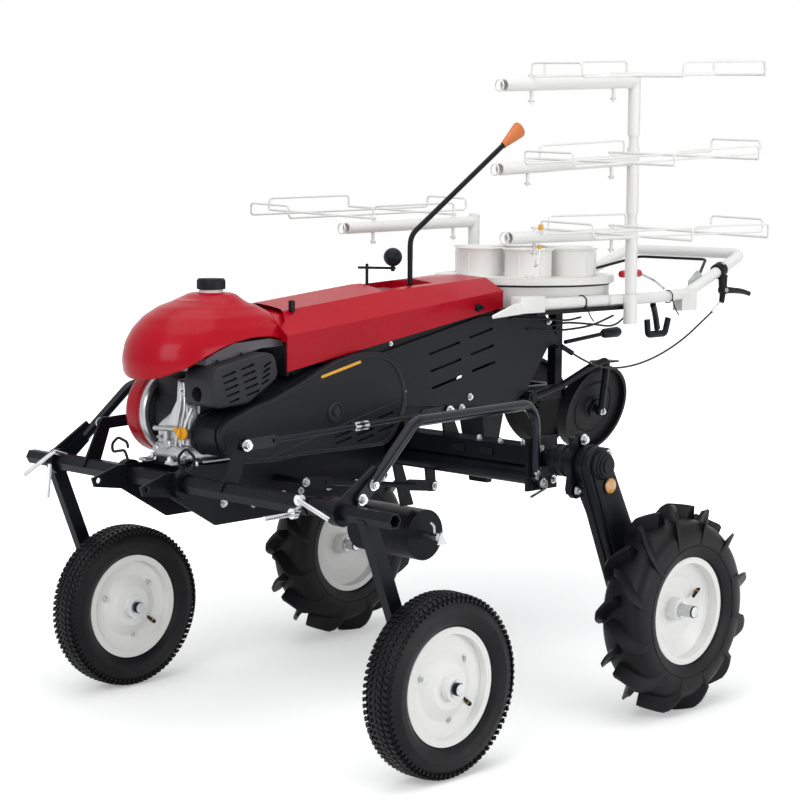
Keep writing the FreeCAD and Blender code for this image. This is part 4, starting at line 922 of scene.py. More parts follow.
# %% [markdown]
# ## Side panels, liners and the belt cover's furniture
# The sheet panels behind the belt cover have rows of slots and stand on two posts each. Dark
# liners close the gap under the hood. On the cover are a round ringed knob and a yellow stripe.

# %% Side panels
PANEL_OUTLINE = ((-392, 721), (-700, 783), (-755, 786), (-923, 779), (-975, 712), (-935, 702),
                 (-857, 600), (-800, 578), (-526, 596), (-449, 602), (-448, 660), (-394, 704))


def side_panel(side):
    low_y, high_y = [corner.y for corner in extent(f"side_panel_{side}")]
    face = high_y if side == "left" else low_y
    skin = -3 if side == "left" else 3
    near, far = min(face, face + skin), max(face, face + skin)
    sheet = slab(PANEL_OUTLINE, near, far)
    cutters = []
    for row in range(3):
        for column in range(2):
            x, z = -587 - column * 118 - row * 5, 720 + column * 27 - row * 38
            cutters.append(slot_cutter(x, z, 100 - 20 * column, 6, -0.21, near - 5, far + 5))
    carve(sheet, cutters)
    back = (low_y, high_y - 2) if side == "left" else (low_y + 2, high_y)
    posts = [rod(8, *back, spot(x, 0, 598)) for x in (-560, -800)]
    piece([sheet] + posts, f"slotted_panel_{side}", cover_plastic, replaces=[f"side_panel_{side}"])


for side, _ in SIDES:
    side_panel(side)

# %% Dark liners under the hood
LINER = ((-118, 700), (-300, 640), (-760, 700), (-760, 812), (-414, 780), (-118, 740))
liners = [slab(LINER, y, y + 3) for y in (104, -107)]
piece(liners, "hood_liners", cover_plastic)

# %% Knob and stripe on the belt cover
cover_face = extent("belt_cover")[1].y
knob_profile = [(0, -6), (21, -6), (21, 3), (19.5, 5), (17, 5), (16, 2), (9, 2), (8, 7), (0, 7)]
piece(turned(knob_profile, spot(-214, cover_face, 613), steps=32), "cover_knob", silencer_plastic)
stripe = slot_cutter(-231, 700, 116, 6, -0.217, cover_face - 1, cover_face + 0.5)
piece(stripe, "cover_stripe", yellow_plastic)

# %% [markdown]
# ## Engine
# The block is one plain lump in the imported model. What shows between the covers is a bright
# ring behind the starter, the dark engine body, and a bright casting with curved ribs on a wide
# foot. The starter cover is a red drawn cup with a ring of slots, and the pull grip hangs by it.

# %% Starter cover
def starter_cover():
    low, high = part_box("recoil_cover")
    centre = middle("recoil_cover")
    radius, depth = (high[2] - low[2]) / 2 / MM, (high[1] - low[1]) / MM
    centre.y = high[1]
    profile = [(0, -depth), (38, -depth), (42, -depth + 3), (46, -depth + 3.5),
               (radius - 12, -depth + 4), (radius - 4, -depth + 6.5), (radius - 1, -depth + 12),
               (radius, -depth + 18), (radius - 0.5, -8), (radius - 2, -7), (radius - 2, 0),
               (0, 0)]
    cup = turned(profile, centre, steps=64)
    cutter = raw("cut", [Vector((x, y, z)) * MM for z in (49, 66)
                         for x, y in ((-3, -depth - 4), (3, -depth - 4), (3, -depth + 9),
                                      (-3, -depth + 9))],
                 [(0, 1, 2, 3), (7, 6, 5, 4), (0, 1, 5, 4), (1, 2, 6, 5), (2, 3, 7, 6),
                  (3, 0, 4, 7)])
    around(cutter, 20, red_paint, centre)
    carve(cup, [cutter])
    piece(cup, "starter_cup", red_paint, replaces=["recoil_cover"])
    grip = bar([(62, -128, 690), (62, -150, 698), (62, -158, 700)], [5, 8, 8] + [8] * 5, 4)
    piece(grip, "starter_grip", soft_rubber)


starter_cover()

# %% [markdown]
# The engine's casting could be sculpted. A few bevelled outlines, turned rings and short bars give
# the same ribs and bosses with far fewer faces, so it is built from those.

# %% Crankcase, recess and oil filler
CRANK = (5, 612)


def crankcase():
    axle = spot(CRANK[0], 0, CRANK[1])
    ring = turned([(72, -98), (87, -98), (89, -95), (89, -84), (86, -80), (78, -79),
                   (74, -84)], axle, steps=64)
    lower = bevel(slab([(-60, 529), (104, 529), (106, 548), (98, 562), (60, 568), (-60, 568)],
                       -40, 62), 7, 3)
    tower = bevel(web([(-36, 556), (60, 556), (63, 606), (57, 640), (48, 692), (28, 692),
                       (24, 650), (4, 622), (-22, 606), (-36, 596)], 64, 95), 6, 3)
    side = bevel(slab([(-2, 560), (66, 560), (66, 690), (-2, 690)], 40, 57.2), 5)
    foot = [bevel(slab([(84, 522), (124, 522), (124, 528), (84, 528)], y, y + 22), 2, 1)
            for y in (-62, 22)]
    foot.append(bevel(slab([(-40, 522), (60, 522), (60, 529), (-40, 529)], -46, 67), 2, 1))
    ribs = [bar([(88, 66, 636), (96, 65, 620), (104, 62, 600), (106, 61, 566)], 3.6, 14, 10),
            bar([(94, 40, 676), (98, 44, 640), (100, 36, 612), (103, 34, 560)], 3.2, 20, 10),
            bar([(94, 52, 660), (98, 56, 634), (102, 50, 600), (104, 50, 560)], 3.0, 20, 10),
            bar([(98, -40, 588), (99, 10, 591), (96, 30, 592)], 5, 10, 12),
            bar([(98, -2, 586), (98, -2, 554)], 6.5, 10, 12),
            bar([(99, -30, 572), (101, 20, 560), (101, 56, 552)], 2.6, 10, 10)]
    boss = [turned([(0, 0), (9, 0), (9, 10), (7, 12), (0, 12)], spot(94, y, z), (1, 0, 0), 20)
            for y, z in ((-30, 548), (8, 560), (54, 544))]
    piece([ring, lower, tower, side] + foot + ribs + boss, "crankcase_casting", cast_metal,
          replaces=["engine_block"])
    neck = [spot(92, 56, 584), spot(104, 59, 586)]
    piece(swept(neck, 11, 18), "oil_neck", cast_metal)
    run = (neck[1] - neck[0]).normalized()
    cap = turned([(0, 0), (12, 0), (13, 2), (13, 7), (11, 9), (0, 9)], neck[1], run, 20)
    tab = swept([neck[1] + run * 0.006, neck[1] + run * 0.018], [12, 10], 12, 0.32)
    ear = bar([(112, 50, 590), (112, 42, 596)], 5, 4, 10)
    piece([cap, tab, ear], "oil_filler_cap", yellow_plastic)
    bolts("crankcase_bolts",
          [(spot(x, y, 528), (0, 0, 1), half) for x, y, half in (
              (95, -51, 6), (112, 26, 6.5), (-6, 60, 4.5), (112, -20, 3.5))]
          + [(spot(x, 63, z), (0, 1, 0), 5) for x, z in ((90, 548), (51, 556), (20, 548))]
          + [(spot(95, y, z), (1, 0, 0), 3.6) for y, z in ((-40, 588), (44, 668), (28, 606))])


def recess():
    """The dark body of the engine behind the bright parts."""
    axle = spot(CRANK[0], 0, CRANK[1])
    drum = turned([(0, -97), (76, -97), (76, -78), (70, -74), (70, 20), (0, 20)], axle, steps=48)
    block = bevel(slab([(-78, 532), (60, 532), (66, 600), (60, 690), (40, 702), (-78, 702)],
                       -78, 57.5), 5)
    head = bevel(brick(-139, -20, -56, 56, 632, 722), 5)
    post = brick(-124, -101, -27, 27, 720, 750)
    piece([drum, block, head, post], "engine_body", dark_paint)
    fins = [brick(-146, -78, -60, 60, 650 + level * 8.5, 652.4 + level * 8.5)
            for level in range(8)]
    piece(fins, "cylinder_fins", cast_metal)
    side = bevel(slab([(60, 540), (86, 560), (86, 596), (66, 622), (0, 640), (0, 540)], 57.5,
                      70), 3)
    piece(side, "belt_backplate", cover_plastic)


crankcase()
recess()

# %% [markdown]
# ## Hood furniture
# A short black latch holds the hood at its front corner and a black rubber button shows near its
# rear. A dark bulkhead and a red web close the hood at the front. The levers come up through a
# bright gate, and the main lever ends in a flattened grip that widens to its end.

# %% Hood furniture
def hood_furniture():
    latch = bevel(brick(-164, -152, 84, 94, 818, 842), 2.5)
    piece(latch, "hood_latch", soft_rubber)
    bulkhead = web([(-118, 690), (118, 690), (118, 764), (-118, 764)], -124, -118)
    piece(bulkhead, "hood_bulkhead", cover_plastic)
    front = web([(-128, 760), (128, 760), (128, 772), (78, 812), (0, 824), (-78, 812),
                 (-128, 772)], -200, -112)
    piece(front, "hood_front", red_paint)
    button = turned([(0, -4), (9, -4), (9, 3), (7, 7), (4, 8), (4, 16), (0, 16)],
                    spot(-671, 136, 807), steps=24)
    piece(button, "hood_button", soft_rubber)
    gate_parts = [bevel(brick(-590, -450, -62, 62, 836, 839), 1.5, 1)]
    for y, length in ((30, 120), (-48, 100)):
        gate_parts.append(brick(-520 - length / 2, -520 + length / 2, y - 9, y - 6, 838, 846))
        gate_parts.append(brick(-520 - length / 2, -520 + length / 2, y + 6, y + 9, 838, 846))
    piece(gate_parts, "lever_gate", cast_metal)


hood_furniture()

# %% [markdown]
# The main lever is a bent rod with a rubber grip. One path with rounded corners makes the rod. A
# second path with a radius for each point makes the grip, which swells towards its end.

# %% Main lever
def main_lever():
    y, foot = reading(middle("main_lever")).y, extent("main_lever")[0].z
    elbow, top = (-563, y, 964), (-868, y, 1168)
    run = (spot(*top) - spot(*elbow)).normalized()
    start = spot(*top) - run * 0.004
    stick = bar([(-563, y, foot), elbow, tuple(reading(start + run * 0.02))], 6, 22)
    piece(stick, "main_lever_rod", dark_paint, replaces=["main_lever"])
    radii = [8.2, 9.0, 10.5, 13.0, 16.0, 19.0, 19.6, 18.6]
    places = [0, 4, 14, 28, 44, 60, 66, 69]
    grip = swept([start + run * (place * MM) for place in places], radii, 22, 0.72)
    piece(grip, "main_lever_grip", grip_rubber)
    print("lever from", round(foot), "to", [round(part) for part in reading(spot(*top))])


main_lever()

# %% [markdown]
# ## Seedling cups
# Each cup is a thin white beaker with a flared lip, two upright seams and two small screws on its
# outer side, and a plated clip on its inner side. One beaker is described once and set out at
# equal angles round the table.

# %% Seedling cups
CUPS, CUP_RADIUS, CUP_LIP, CUP_START = 6, 54, 6, 45
SEAM = 24


def seedling_cups():
    low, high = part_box("seedling_cups")
    table = middle("turntable_disc")
    base, top = low[2] / MM, high[2] / MM
    across = (high[1] - low[1]) / 2 / MM
    ring = (across - CUP_RADIUS - CUP_LIP) / math.sin(math.radians(CUP_START + 30))
    shells, screws, clips = [], [], []
    wall = 2.5
    profile = [(0, base), (CUP_RADIUS, base), (CUP_RADIUS, top - 9),
               (CUP_RADIUS + 1.2, top - 5.5), (CUP_RADIUS + CUP_LIP - 1, top - 1.4),
               (CUP_RADIUS + CUP_LIP, top - 0.6), (CUP_RADIUS + CUP_LIP - 0.3, top),
               (CUP_RADIUS + CUP_LIP - 2, top), (CUP_RADIUS - 1, top - 5.5),
               (CUP_RADIUS - wall, top - 9), (CUP_RADIUS - wall, base + wall),
               (0, base + wall)]
    reach = math.sqrt(CUP_RADIUS ** 2 - SEAM ** 2)
    for number in range(CUPS):
        angle = math.radians(CUP_START + 360 * number / CUPS)
        outward = Vector((math.cos(angle), math.sin(angle), 0))
        side = Vector((-outward.y, outward.x, 0))
        centre = table + outward * ring * MM
        centre.z = 0
        shells.append(turned(profile, centre, (0, 0, 1), 64))
        for u in (-1, 1):
            seam = centre + (outward * reach + side * u * SEAM) * MM
            shells.append(swept([seam + Vector((0, 0, (base + 2) * MM)),
                                 seam + Vector((0, 0, (top - 12) * MM))], 1.7, 8))
            place = centre + (outward * (CUP_RADIUS + 5) + side * u * 8) * MM
            screws.append((Vector((place.x, place.y, base * MM)), (0, 0, 1), 2.2))
        inner = table + outward * (ring - CUP_RADIUS - 4) * MM
        clips.append(swept([Vector((inner.x, inner.y, base * MM)),
                            Vector((inner.x, inner.y, (base + 22) * MM))], 3.2, 10))
    piece(shells, "seedling_beakers", white_moulding, "turntable", replaces=["seedling_cups"])
    piece(clips, "cup_clips", zinc_plate, "turntable")
    bolts("cup_screws", screws, "turntable")


seedling_cups()

# %% [markdown]
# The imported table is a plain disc. A turned lip gives its rim the rolled edge, and a dark seam
# shows where the turning disc meets the fixed ring below it.

# %% Turntable rim
def turntable_rim():
    low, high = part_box("turntable_disc")
    table = middle("turntable_disc")
    table.z = 0
    radius, top = (high[0] - low[0]) / 2 / MM, high[2] / MM
    lip = turned([(radius - 7, top - 16), (radius, top - 16), (radius, top - 4.5),
                  (radius - 1.3, top - 1.4), (radius - 4.5, top), (radius - 10, top),
                  (radius - 10, top - 3), (radius - 6, top - 4)], table, (0, 0, 1), 128)
    piece(lip, "turntable_lip", white_moulding, "turntable")
    band_low, band_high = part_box("turntable_ring")
    reach = (band_high[0] - band_low[0]) / 2 / MM
    seam = turned([(reach - 1, band_high[2] / MM - 3), (reach + 1.6, band_high[2] / MM - 3),
                   (reach + 1.6, band_high[2] / MM), (reach - 1, band_high[2] / MM)], table,
                  (0, 0, 1), 128)
    piece(seam, "turntable_seam", soft_rubber)


turntable_rim()

# %% [markdown]
# ## Racks
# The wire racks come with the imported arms. Each arm sags a little, so its trim is placed in the
# arm's own directions: along it, across it and up. The trim is a cross peg under each stud,
# screws in the sleeve, and on the lowest rack a yellow sleeve and a hanging clip.

# %% Rack trim
STUDS, STUD_FOOT = (72, 337), -35.6
RACKS = (("tray_arm_top", "top_tray", "top_arm_end"),
         ("tray_arm_middle", "middle_tray", "middle_arm_end"),
         ("tray_arm_lower", "lower_tray", "lower_arm_end"),
         ("tray_arm_right", "right_tray", "right_arm_end"))
LEAN = math.radians(-1.9)


def arm_frame(body, mount_name):
    """The hinge point and the three directions of one sagging arm."""
    joint = next(item for item in frame["joints"] if item["child"] == body)
    mount = next(item for item in frame["record"]["mounts"] if item["name"] == mount_name)
    along = Vector(mount["axis"]).normalized()
    across = Vector((-along.y, along.x, math.tan(LEAN))).normalized()
    return Vector(joint["pos_m"]), along, across, along.cross(across)


def rack_trim(node, body, mount_name):
    hinge, along, across, up = arm_frame(body, mount_name)
    pegs, screws = [], []
    for reach in STUDS:
        foot = hinge + (along * reach + up * STUD_FOOT) * MM
        pegs.append(swept([foot - across * 0.009, foot + across * 0.009], 2.2, 10))
        pegs.append(swept([foot + up * 0.003, foot - up * 0.004], 5, 12))
        screws.append((foot - up * 0.004, -up, 2.6))
    post = reading(hinge)
    for z in (extent(node)[0].z + 16, post.z - 30):
        screws.append((spot(post.x - 14, post.y, z), (-1, 0, 0), 3.6))
    piece(pegs, f"{node}_pegs", white_coat, body)
    bolts(f"{node}_screws", screws, body)
    lip = [turned([(11.4, -2), (13.5, -2), (13.5, 0.4), (12.6, 1), (11.4, 1)],
                  hinge + along * 0.436, along, 32)]
    piece(lip, f"{node}_lip", white_coat, body)


for node, body, mount_name in RACKS:
    rack_trim(node, body, mount_name)

# %% Sleeve and clip of the lowest rack
def lower_rack_clip():
    hinge, along, across, up = arm_frame("lower_tray", "lower_arm_end")

    def here(u, v, w):
        return hinge + (along * u + across * v + up * w) * MM
    sleeve = swept([here(497, 158, 28), here(497, 158, 40)], 5.2, 16)
    piece(sleeve, "rack_marker", yellow_plastic, "lower_tray")
    hook = swept(rounded([here(337, 10, -14), here(337, 16, -24), here(337, 12, -60),
                          here(337, 4, -66), here(337, 4, -48)], 0.008), 1.6, 8)
    piece(hook, "rack_clip", zinc_plate, "lower_tray")
    piece(swept([here(337, 16, -16), here(337, 16, -25)], 4.2, 12), "rack_clip_tag",
          yellow_plastic, "lower_tray")


lower_rack_clip()

# %% [markdown]
# ## Handle furniture
# Around the handle are the black bail that stops the machine, a clutch lever on the left pipe
# with its plated adjuster, a red knob behind the table, a black clamp bracket, a dark grip on its
# rod, white pipe clamps and cable ties.

# %% Bail
def bail():
    corners = [(-1408, 188, 847), (-1552, 106, 888), (-1552, -106, 888), (-1408, -188, 847)]
    piece(bar(corners, 3.6, 14), "stop_bail", soft_rubber)
    plates = []
    for y in (187, -187):
        plates.append(bevel(slab([(-1372, 826), (-1398, 828), (-1428, 852), (-1410, 868),
                                  (-1376, 846)], y - 4, y + 4), 1.2, 1))
    piece(plates, "bail_ears", cast_metal)


bail()

# %% [markdown]
# The clutch lever is a moulded hand lever on a clamp ring. It could be one lofted body. Separate
# swept parts keep each one simple, and the plated adjuster points the way that the cable leaves.

# %% Clutch lever
CABLE = ((-1453, 200, 764), (-1409, 198, 738), (-1357, 194, 707), (-1296, 190, 680),
         (-1229, 186, 659), (-1159, 182, 647), (-1091, 175, 646), (-1032, 160, 659),
         (-990, 143, 686))


def clutch_lever():
    start, end = spot(-1352, 199, 815), spot(-1605, 180, 903)
    along = (end - start).normalized()
    mount = start + along * 0.153
    ring = turned([(14.2, -13), (18.2, -13), (19, -11), (19, 11), (18.2, 13), (14.2, 13)], mount,
                  along, 32)
    knuckle = spot(-1488, 207, 818)
    hub = turned([(0, -8), (10, -8), (11, -6), (11, 8), (9, 10), (0, 10)], knuckle, (0, 1, 0), 24)
    blade = [knuckle + Vector(step) * MM for step in ((0, 0, 0), (-30, 0, -2), (-80, 0, -6),
                                                      (-114, 0, -14))]
    arm = swept([mount + Vector((0, 0.012, -0.012)), knuckle], [12, 10], 14)
    line = rounded(blade, 0.02)
    thick = [9 - 3 * step / (len(line) - 1) for step in range(len(line))]
    hand = swept(line, thick, 14, 0.7)
    route_start = spot(*CABLE[0])
    neck = (spot(*CABLE[1]) - route_start).normalized()
    horn = swept([knuckle, knuckle.lerp(route_start - neck * 0.046, 0.6),
                  route_start - neck * 0.044], [8, 7.5, 7], 14)
    piece([ring, hub, hand, horn, arm], "clutch_hand_lever", soft_rubber,
          replaces=["clutch_lever"])
    barrel = [route_start - neck * (back * MM) for back in (46, 30, 28, 10, 8, 0)]
    piece(swept(barrel, [6, 6, 5, 5, 4.2, 3.6], 16), "clutch_adjuster", zinc_plate)
    bolts("clutch_screws", [(mount + Vector((0, 0.012, 0.017)), (0, 0.4, 1), 3.2),
                            (knuckle + Vector((0, 0.010, 0)), (0, 1, 0), 3.6)])


clutch_lever()

# %% [markdown]
# ## The clutch cable
# The cable leaves the adjuster, hangs in one loose curve and goes up behind the side panel. It is
# a stiff wire in a sleeve, so its curve has no tight bend. It is a NURBS spline on the same points
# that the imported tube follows.

# %% Clutch cable
def clutch_cable():
    curve = bpy.data.curves.new("clutch_cable_line", "CURVE")
    curve.dimensions = "3D"
    curve.bevel_depth = 2.5 * MM
    curve.bevel_resolution = 3
    curve.resolution_u = 12
    spline = curve.splines.new("NURBS")
    spline.points.add(len(CABLE) - 1)
    for point, corner in zip(spline.points, CABLE):
        point.co = (*spot(*corner), 1)
    spline.order_u = 3
    spline.use_endpoint_u = True
    curve.use_fill_caps = True
    thing = placed("clutch_cable_run", curve)
    curve.materials.append(cable_skin)
    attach(thing, "chassis")
    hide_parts("clutch_cable")


clutch_cable()

# %% [markdown]
# The smaller fittings of the handle are short bars, turned knobs and bevelled blocks. Each is
# placed at the pipe or the rod that holds it, in the machine's own millimetres.

# %% Red knob, clamp bracket, grip, clamps and ties
def handle_trim():
    steel = bar([(-1290, 100, 861), (-1353, 100, 840), (-1262, 196, 830)], 4, 4)
    piece(steel, "row_lever", zinc_plate)
    knob = turned([(0, 0), (7, 0), (9.5, 3), (9.5, 66), (8, 74), (0, 74)],
                  spot(-1292, 100, 861), (1, 0, 0), 22)
    piece(knob, "red_knob", red_plastic)
    bracket = [(-1196, 216, 796), (-1222, 204, 770), (-1236, 200, 734)]
    ring = [(-1196, 200, 758), (-1200, 200, 722), (-1266, 200, 722), (-1278, 200, 758)]
    arms = [bar(bracket, 10, flat=0.7), bar(ring, 8.5, 8, flat=0.8)]
    piece(arms, "clamp_bracket", dark_paint)
    grip = swept([spot(-1150, 100, 720), spot(-1158, 100, 721), spot(-1206, 100, 722),
                  spot(-1214, 100, 722), spot(-1217, 100, 722)], [7, 11.5, 13, 10, 4], 20)
    stem = bar([(-1014, 100, 708), (-1152, 100, 720)], 5)
    white = [bevel(brick(-782, -701, 206, 238, 796, 833), 3),
             bevel(slab([(-686, 820), (-712, 820), (-712, 796), (-612, 790), (-612, 797)],
                        230, 236), 1.5, 1),
             bevel(brick(-1060, -1011, 216, 240, 804, 824), 2)]
    piece(white, "pipe_clamps", white_coat)
    piece(grip, "row_grip", cover_plastic)
    piece(stem, "row_rod", dark_paint)
    ties = []
    for x in (-930, -1250):
        loop = [spot(x, 218, 812) + Vector((0, math.cos(a) * 0.0152, math.sin(a) * 0.0152))
                for a in [math.pi / 8 * step for step in range(18)]]
        ties.append(swept(loop, 1.5, 8))
        ties.append(bar([(x, 232, 806), (x - 6, 238, 782), (x - 22, 236, 768)], 1.5, 8, 8))
    piece(ties, "cable_ties", soft_rubber)


handle_trim()

# %% [markdown]
# Thin wires leave the handle and vanish under the table. They have no packed counterpart and
# carry nothing, so plain bent bars are enough.

# %% Loose ends of cables under the table
def loom():
    runs = [[(-1010, 150, 770), (-960, 150, 764), (-880, 130, 772), (-800, 118, 776)],
            [(-1050, 215, 776), (-1000, 190, 752), (-930, 150, 742), (-860, 118, 748)],
            [(-1190, 150, 772), (-1120, 160, 742), (-1050, 150, 752), (-980, 120, 758),
             (-930, 96, 742)],
            [(-940, 80, 760), (-900, 60, 700), (-880, 40, 640), (-860, 30, 620)]]
    parts = [bar(run, 2.6, 30, 10) for run in runs]
    piece(parts, "control_wires", cable_skin)


loom()

# %% [markdown]
# ## Frame trim
# Bolts hold the frame together at every flange, and the same tree makes them all. The beam has
# tee-handled screws, two wire hooks stand on the front frame, each drive case is a tapered box
# round two circles, and the upper links have plated turnbuckles.

# %% Chassis bolts
# x, y, z and half width
LEFT_BOLTS = ((88, 552.6, 512, 7.5), (59, 552.4, 536, 7.5), (-498, 481, 472, 7),
              (-479, 481, 497, 6.5), (-480, 474.6, 485, 6), (-508, 474.6, 466, 6),
              (-538, 474.6, 475, 6), (-529, 474.6, 523, 6), (-499, 474.6, 542, 6),
              (-525, 565, 568, 8), (-508, 565, 465, 8), (-604, 565, 530, 7), (88, 232.8, 579, 8),
              (-480, 232.8, 600, 8), (-121, 171.8, 478, 6.5), (-499, 171.8, 430, 6),
              (88, 81, 479, 6), (20, 81, 440, 6), (-60, 81, 430, 6), (-140, 81, 440, 6),
              (-540, 450, 480, 6.5), (-540, 450, 540, 6.5), (-472, 450, 556, 5.5),
              (-455, 115, 634, 6), (-669, 115.5, 606, 5.5), (-642, 115.5, 584, 5.5),
              (-934, 115.5, 762, 5.5), (-398, 136, 742, 3.5))
RIGHT_BOLTS = ((88, -336, 512, 7.5), (59, -336, 536, 7.5), (-525, -375, 569, 7.5),
               (88, -232.8, 579, 8), (-480, -232.8, 600, 8), (88, -81, 479, 6), (20, -81, 440, 6),
               (-60, -81, 430, 6), (-140, -81, 440, 6), (-550, -110, 440, 6))
TOP_BOLTS = ((80, 66, 521, 6), (80, -66, 521, 6), (-150, 66, 521, 6), (-150, -66, 521, 6),
             (-500, 300, 546, 5.5), (-500, 360, 546, 5.5), (-500, -250, 546, 5.5),
             (-960, 180, 798, 5), (-960, -180, 798, 5), (-800, 200, 798, 5),
             (-800, -200, 798, 5))
GEAR_CASE_BOLTS = [(x, z) for x in (-200, -280, -360, -440) for z in (440, 560)]


def chassis_bolts():
    out, back, above = (0, 1, 0), (0, -1, 0), (0, 0, 1)
    places = [(spot(*place), way, half)
              for way, rows in ((out, LEFT_BOLTS), (back, RIGHT_BOLTS), (above, TOP_BOLTS))
              for *place, half in rows]
    bolts("chassis_bolts", places)
    bolts("gear_case_bolts", [(spot(x, y, z), way, 5.5) for y, way in ((70, out), (-70, back))
                              for x, z in GEAR_CASE_BOLTS])


chassis_bolts()

# %% [markdown]
# The tee screws are bent plated rods with round heads, and the hooks are bent wires. Both are
# written as lists of corners, so that one function bends them all.

# %% Tee screws and hooks
TEES = (((165, -308, 492), (165, -319, 420)), ((160, -300, 518), (165, -400, 459)),
        ((160, 448, 481), (231, 446, 480)), ((165, 465, 509), (165, 549, 483)))
HOOKS = (((160, -48, 528), (160, -58, 547), (160, -98, 539), (160, -100, 555),
          (160, -80, 571), (160, -50, 564), (160, -47, 552)),
         ((160, 136, 524), (160, 116, 532), (160, 112, 552), (160, 136, 570),
          (160, 162, 556), (160, 160, 536), (160, 138, 526)))


def hooks():
    rings = [bar(list(line), 3, 8) for line in HOOKS]
    piece(rings, "wire_hooks", dark_paint)
    screws = [bar(list(line), 4.6) for line in TEES]
    screws.append(bar([(-465, 477, 445), (-510, 477, 458)], 3))
    screws += [rod(10, 0, 11, spot(156, y, z), (1, 0, 0), 20)
               for y, z in ((465, 509), (448, 482))]
    screws += [bar([(130, -300, 508), (160, -300, 518)], 5),
               bar([(130, 446, 492), (165, 448, 484)], 6),
               bar([(140, 452, 500), (165, 465, 509)], 5)]
    piece(screws, "tee_screws", zinc_plate)


hooks()

# %% [markdown]
# Each drive case holds a chain between a small sprocket above and a larger one at the wheel, so
# its outline is the hull of two circles. Layers of that outline give the seam and the step.

# %% Outline round two circles
def hull(first, near, last, far, steps=20):
    """The outline round two circles in the XZ plane."""
    run = Vector((last[0] - first[0], last[1] - first[1]))
    heading = math.atan2(run.y, run.x)
    open_by = math.acos((near - far) / run.length)
    points = []
    for centre, radius, start, sweep in (
            (first, near, heading + open_by, 2 * (math.pi - open_by)),
            (last, far, heading - open_by, 2 * open_by)):
        for step in range(steps + 1):
            angle = start + sweep * step / steps
            points.append((centre[0] + math.cos(angle) * radius,
                           centre[1] + math.sin(angle) * radius))
    return points


# %% Drive cases
HEAD, FOOT, HUB, NECK = (-530, 519), (-675, 215.3), (-679, 215.3), (-514, 522)
HEAD_RADIUS, FOOT_RADIUS, SEAM_RISE, STEP_RISE = 37, 50, 3, 4


def drive_case(side, inner, outer, sign, hub_y):
    """The tapered chain case with its stepped rim, boss, axle and ribbed housing."""
    low, high = min(inner, outer), max(inner, outer)

    def layer(grow, y0, y1, width, segments):
        outline = hull(HEAD, HEAD_RADIUS + grow, FOOT, FOOT_RADIUS + grow)
        return bevel(slab(outline, y0, y1), width, segments, 30)
    centre_y = (low + high) / 2
    body = layer(0, low, high, 4, 3)
    seam = layer(SEAM_RISE, centre_y - 3, centre_y + 3, 1, 1)
    step = layer(-9, *sorted((outer, outer + sign * STEP_RISE)), 1.5, 2)
    boss = [(0, 0), (30, 0), (30, sign * 8), (26, sign * 10), (26, sign * 15), (22, sign * 16),
            (22, sign * 20), (15, sign * 21), (15, sign * 24), (0, sign * 24)]
    tip = turned(boss, spot(HEAD[0] - 2, outer, HEAD[1]), steps=44)
    start = outer if side == "left" else inner
    axle = rod(12.5, 0, hub_y - start, spot(HUB[0], start, HUB[1]), steps=32)
    piece([body, seam, step, tip, axle], f"drive_case_{side}", dark_paint,
          replaces=[f"chain_case_{side}"])
    back = extent(f"drive_housing_{side}")[0 if side == "left" else 1].y
    span = abs(inner - back)
    ribs = [(0, 0), (19, 0), (19, 24), (31, 27), (33, 34), (33, 44), (30, 46), (30, 52), (33, 54),
            (33, 64), (30, 66), (30, span), (0, span)]
    neck = turned([(radius, sign * along) for radius, along in ribs],
                  spot(NECK[0], back, NECK[1]), steps=44)
    piece(neck, f"drive_neck_{side}", dark_paint, replaces=[f"drive_housing_{side}"])


# side, inner and outer face, sign, hub
for row in (("left", 565, 604, 1, 739), ("right", -375, -414, -1, -257)):
    drive_case(*row)

# %% [markdown]
# A turnbuckle is a hexagonal sleeve on the link rod, so it is swept with six sides. A reflector
# is a turned lens in a rubber cup.

# %% Turnbuckles and reflectors
LINK_Y, LINK_FRONT, LINK_REAR = 226, (88, 579), (-480, 600)
REFLECTOR_X, REFLECTOR_Z, REFLECTOR_Y = -557, 475, (607.5, -416.5)


def link_trim():
    for side, sign in SIDES:
        front, rear = [Vector((x, sign * LINK_Y, z)) for x, z in (LINK_FRONT, LINK_REAR)]
        run = (rear - front).normalized()
        spots = [front + run * along for along in (292, 294, 304, 306, 316, 318, 328, 330)]
        radii = [9.4, 10.4, 10.4, 9.6, 9.6, 10.4, 10.4, 9.4]
        piece(swept([spot(*place) for place in spots], radii, 6), f"turnbuckle_{side}", zinc_plate)
    for (side, sign), y in zip(SIDES, REFLECTOR_Y):
        base = spot(REFLECTOR_X, y, REFLECTOR_Z)
        piece(rod(18.6, 0, sign * 4, base, steps=36), f"reflector_body_{side}", soft_rubber)
        piece(turned([(0, sign * 3), (16.5, sign * 3), (15, sign * 6.3), (9, sign * 7.6),
                      (0, sign * 8)], base, steps=36), f"reflector_{side}", amber_lens)


link_trim()

# %% [markdown]
# Each drive flange has three round ears, with a strap, a branch and a strut between and below
# them. Two rubber grommets sit on the rear axle. A dark disc closes each end of the depth roller,
# which hangs on a plated pin with a clip.

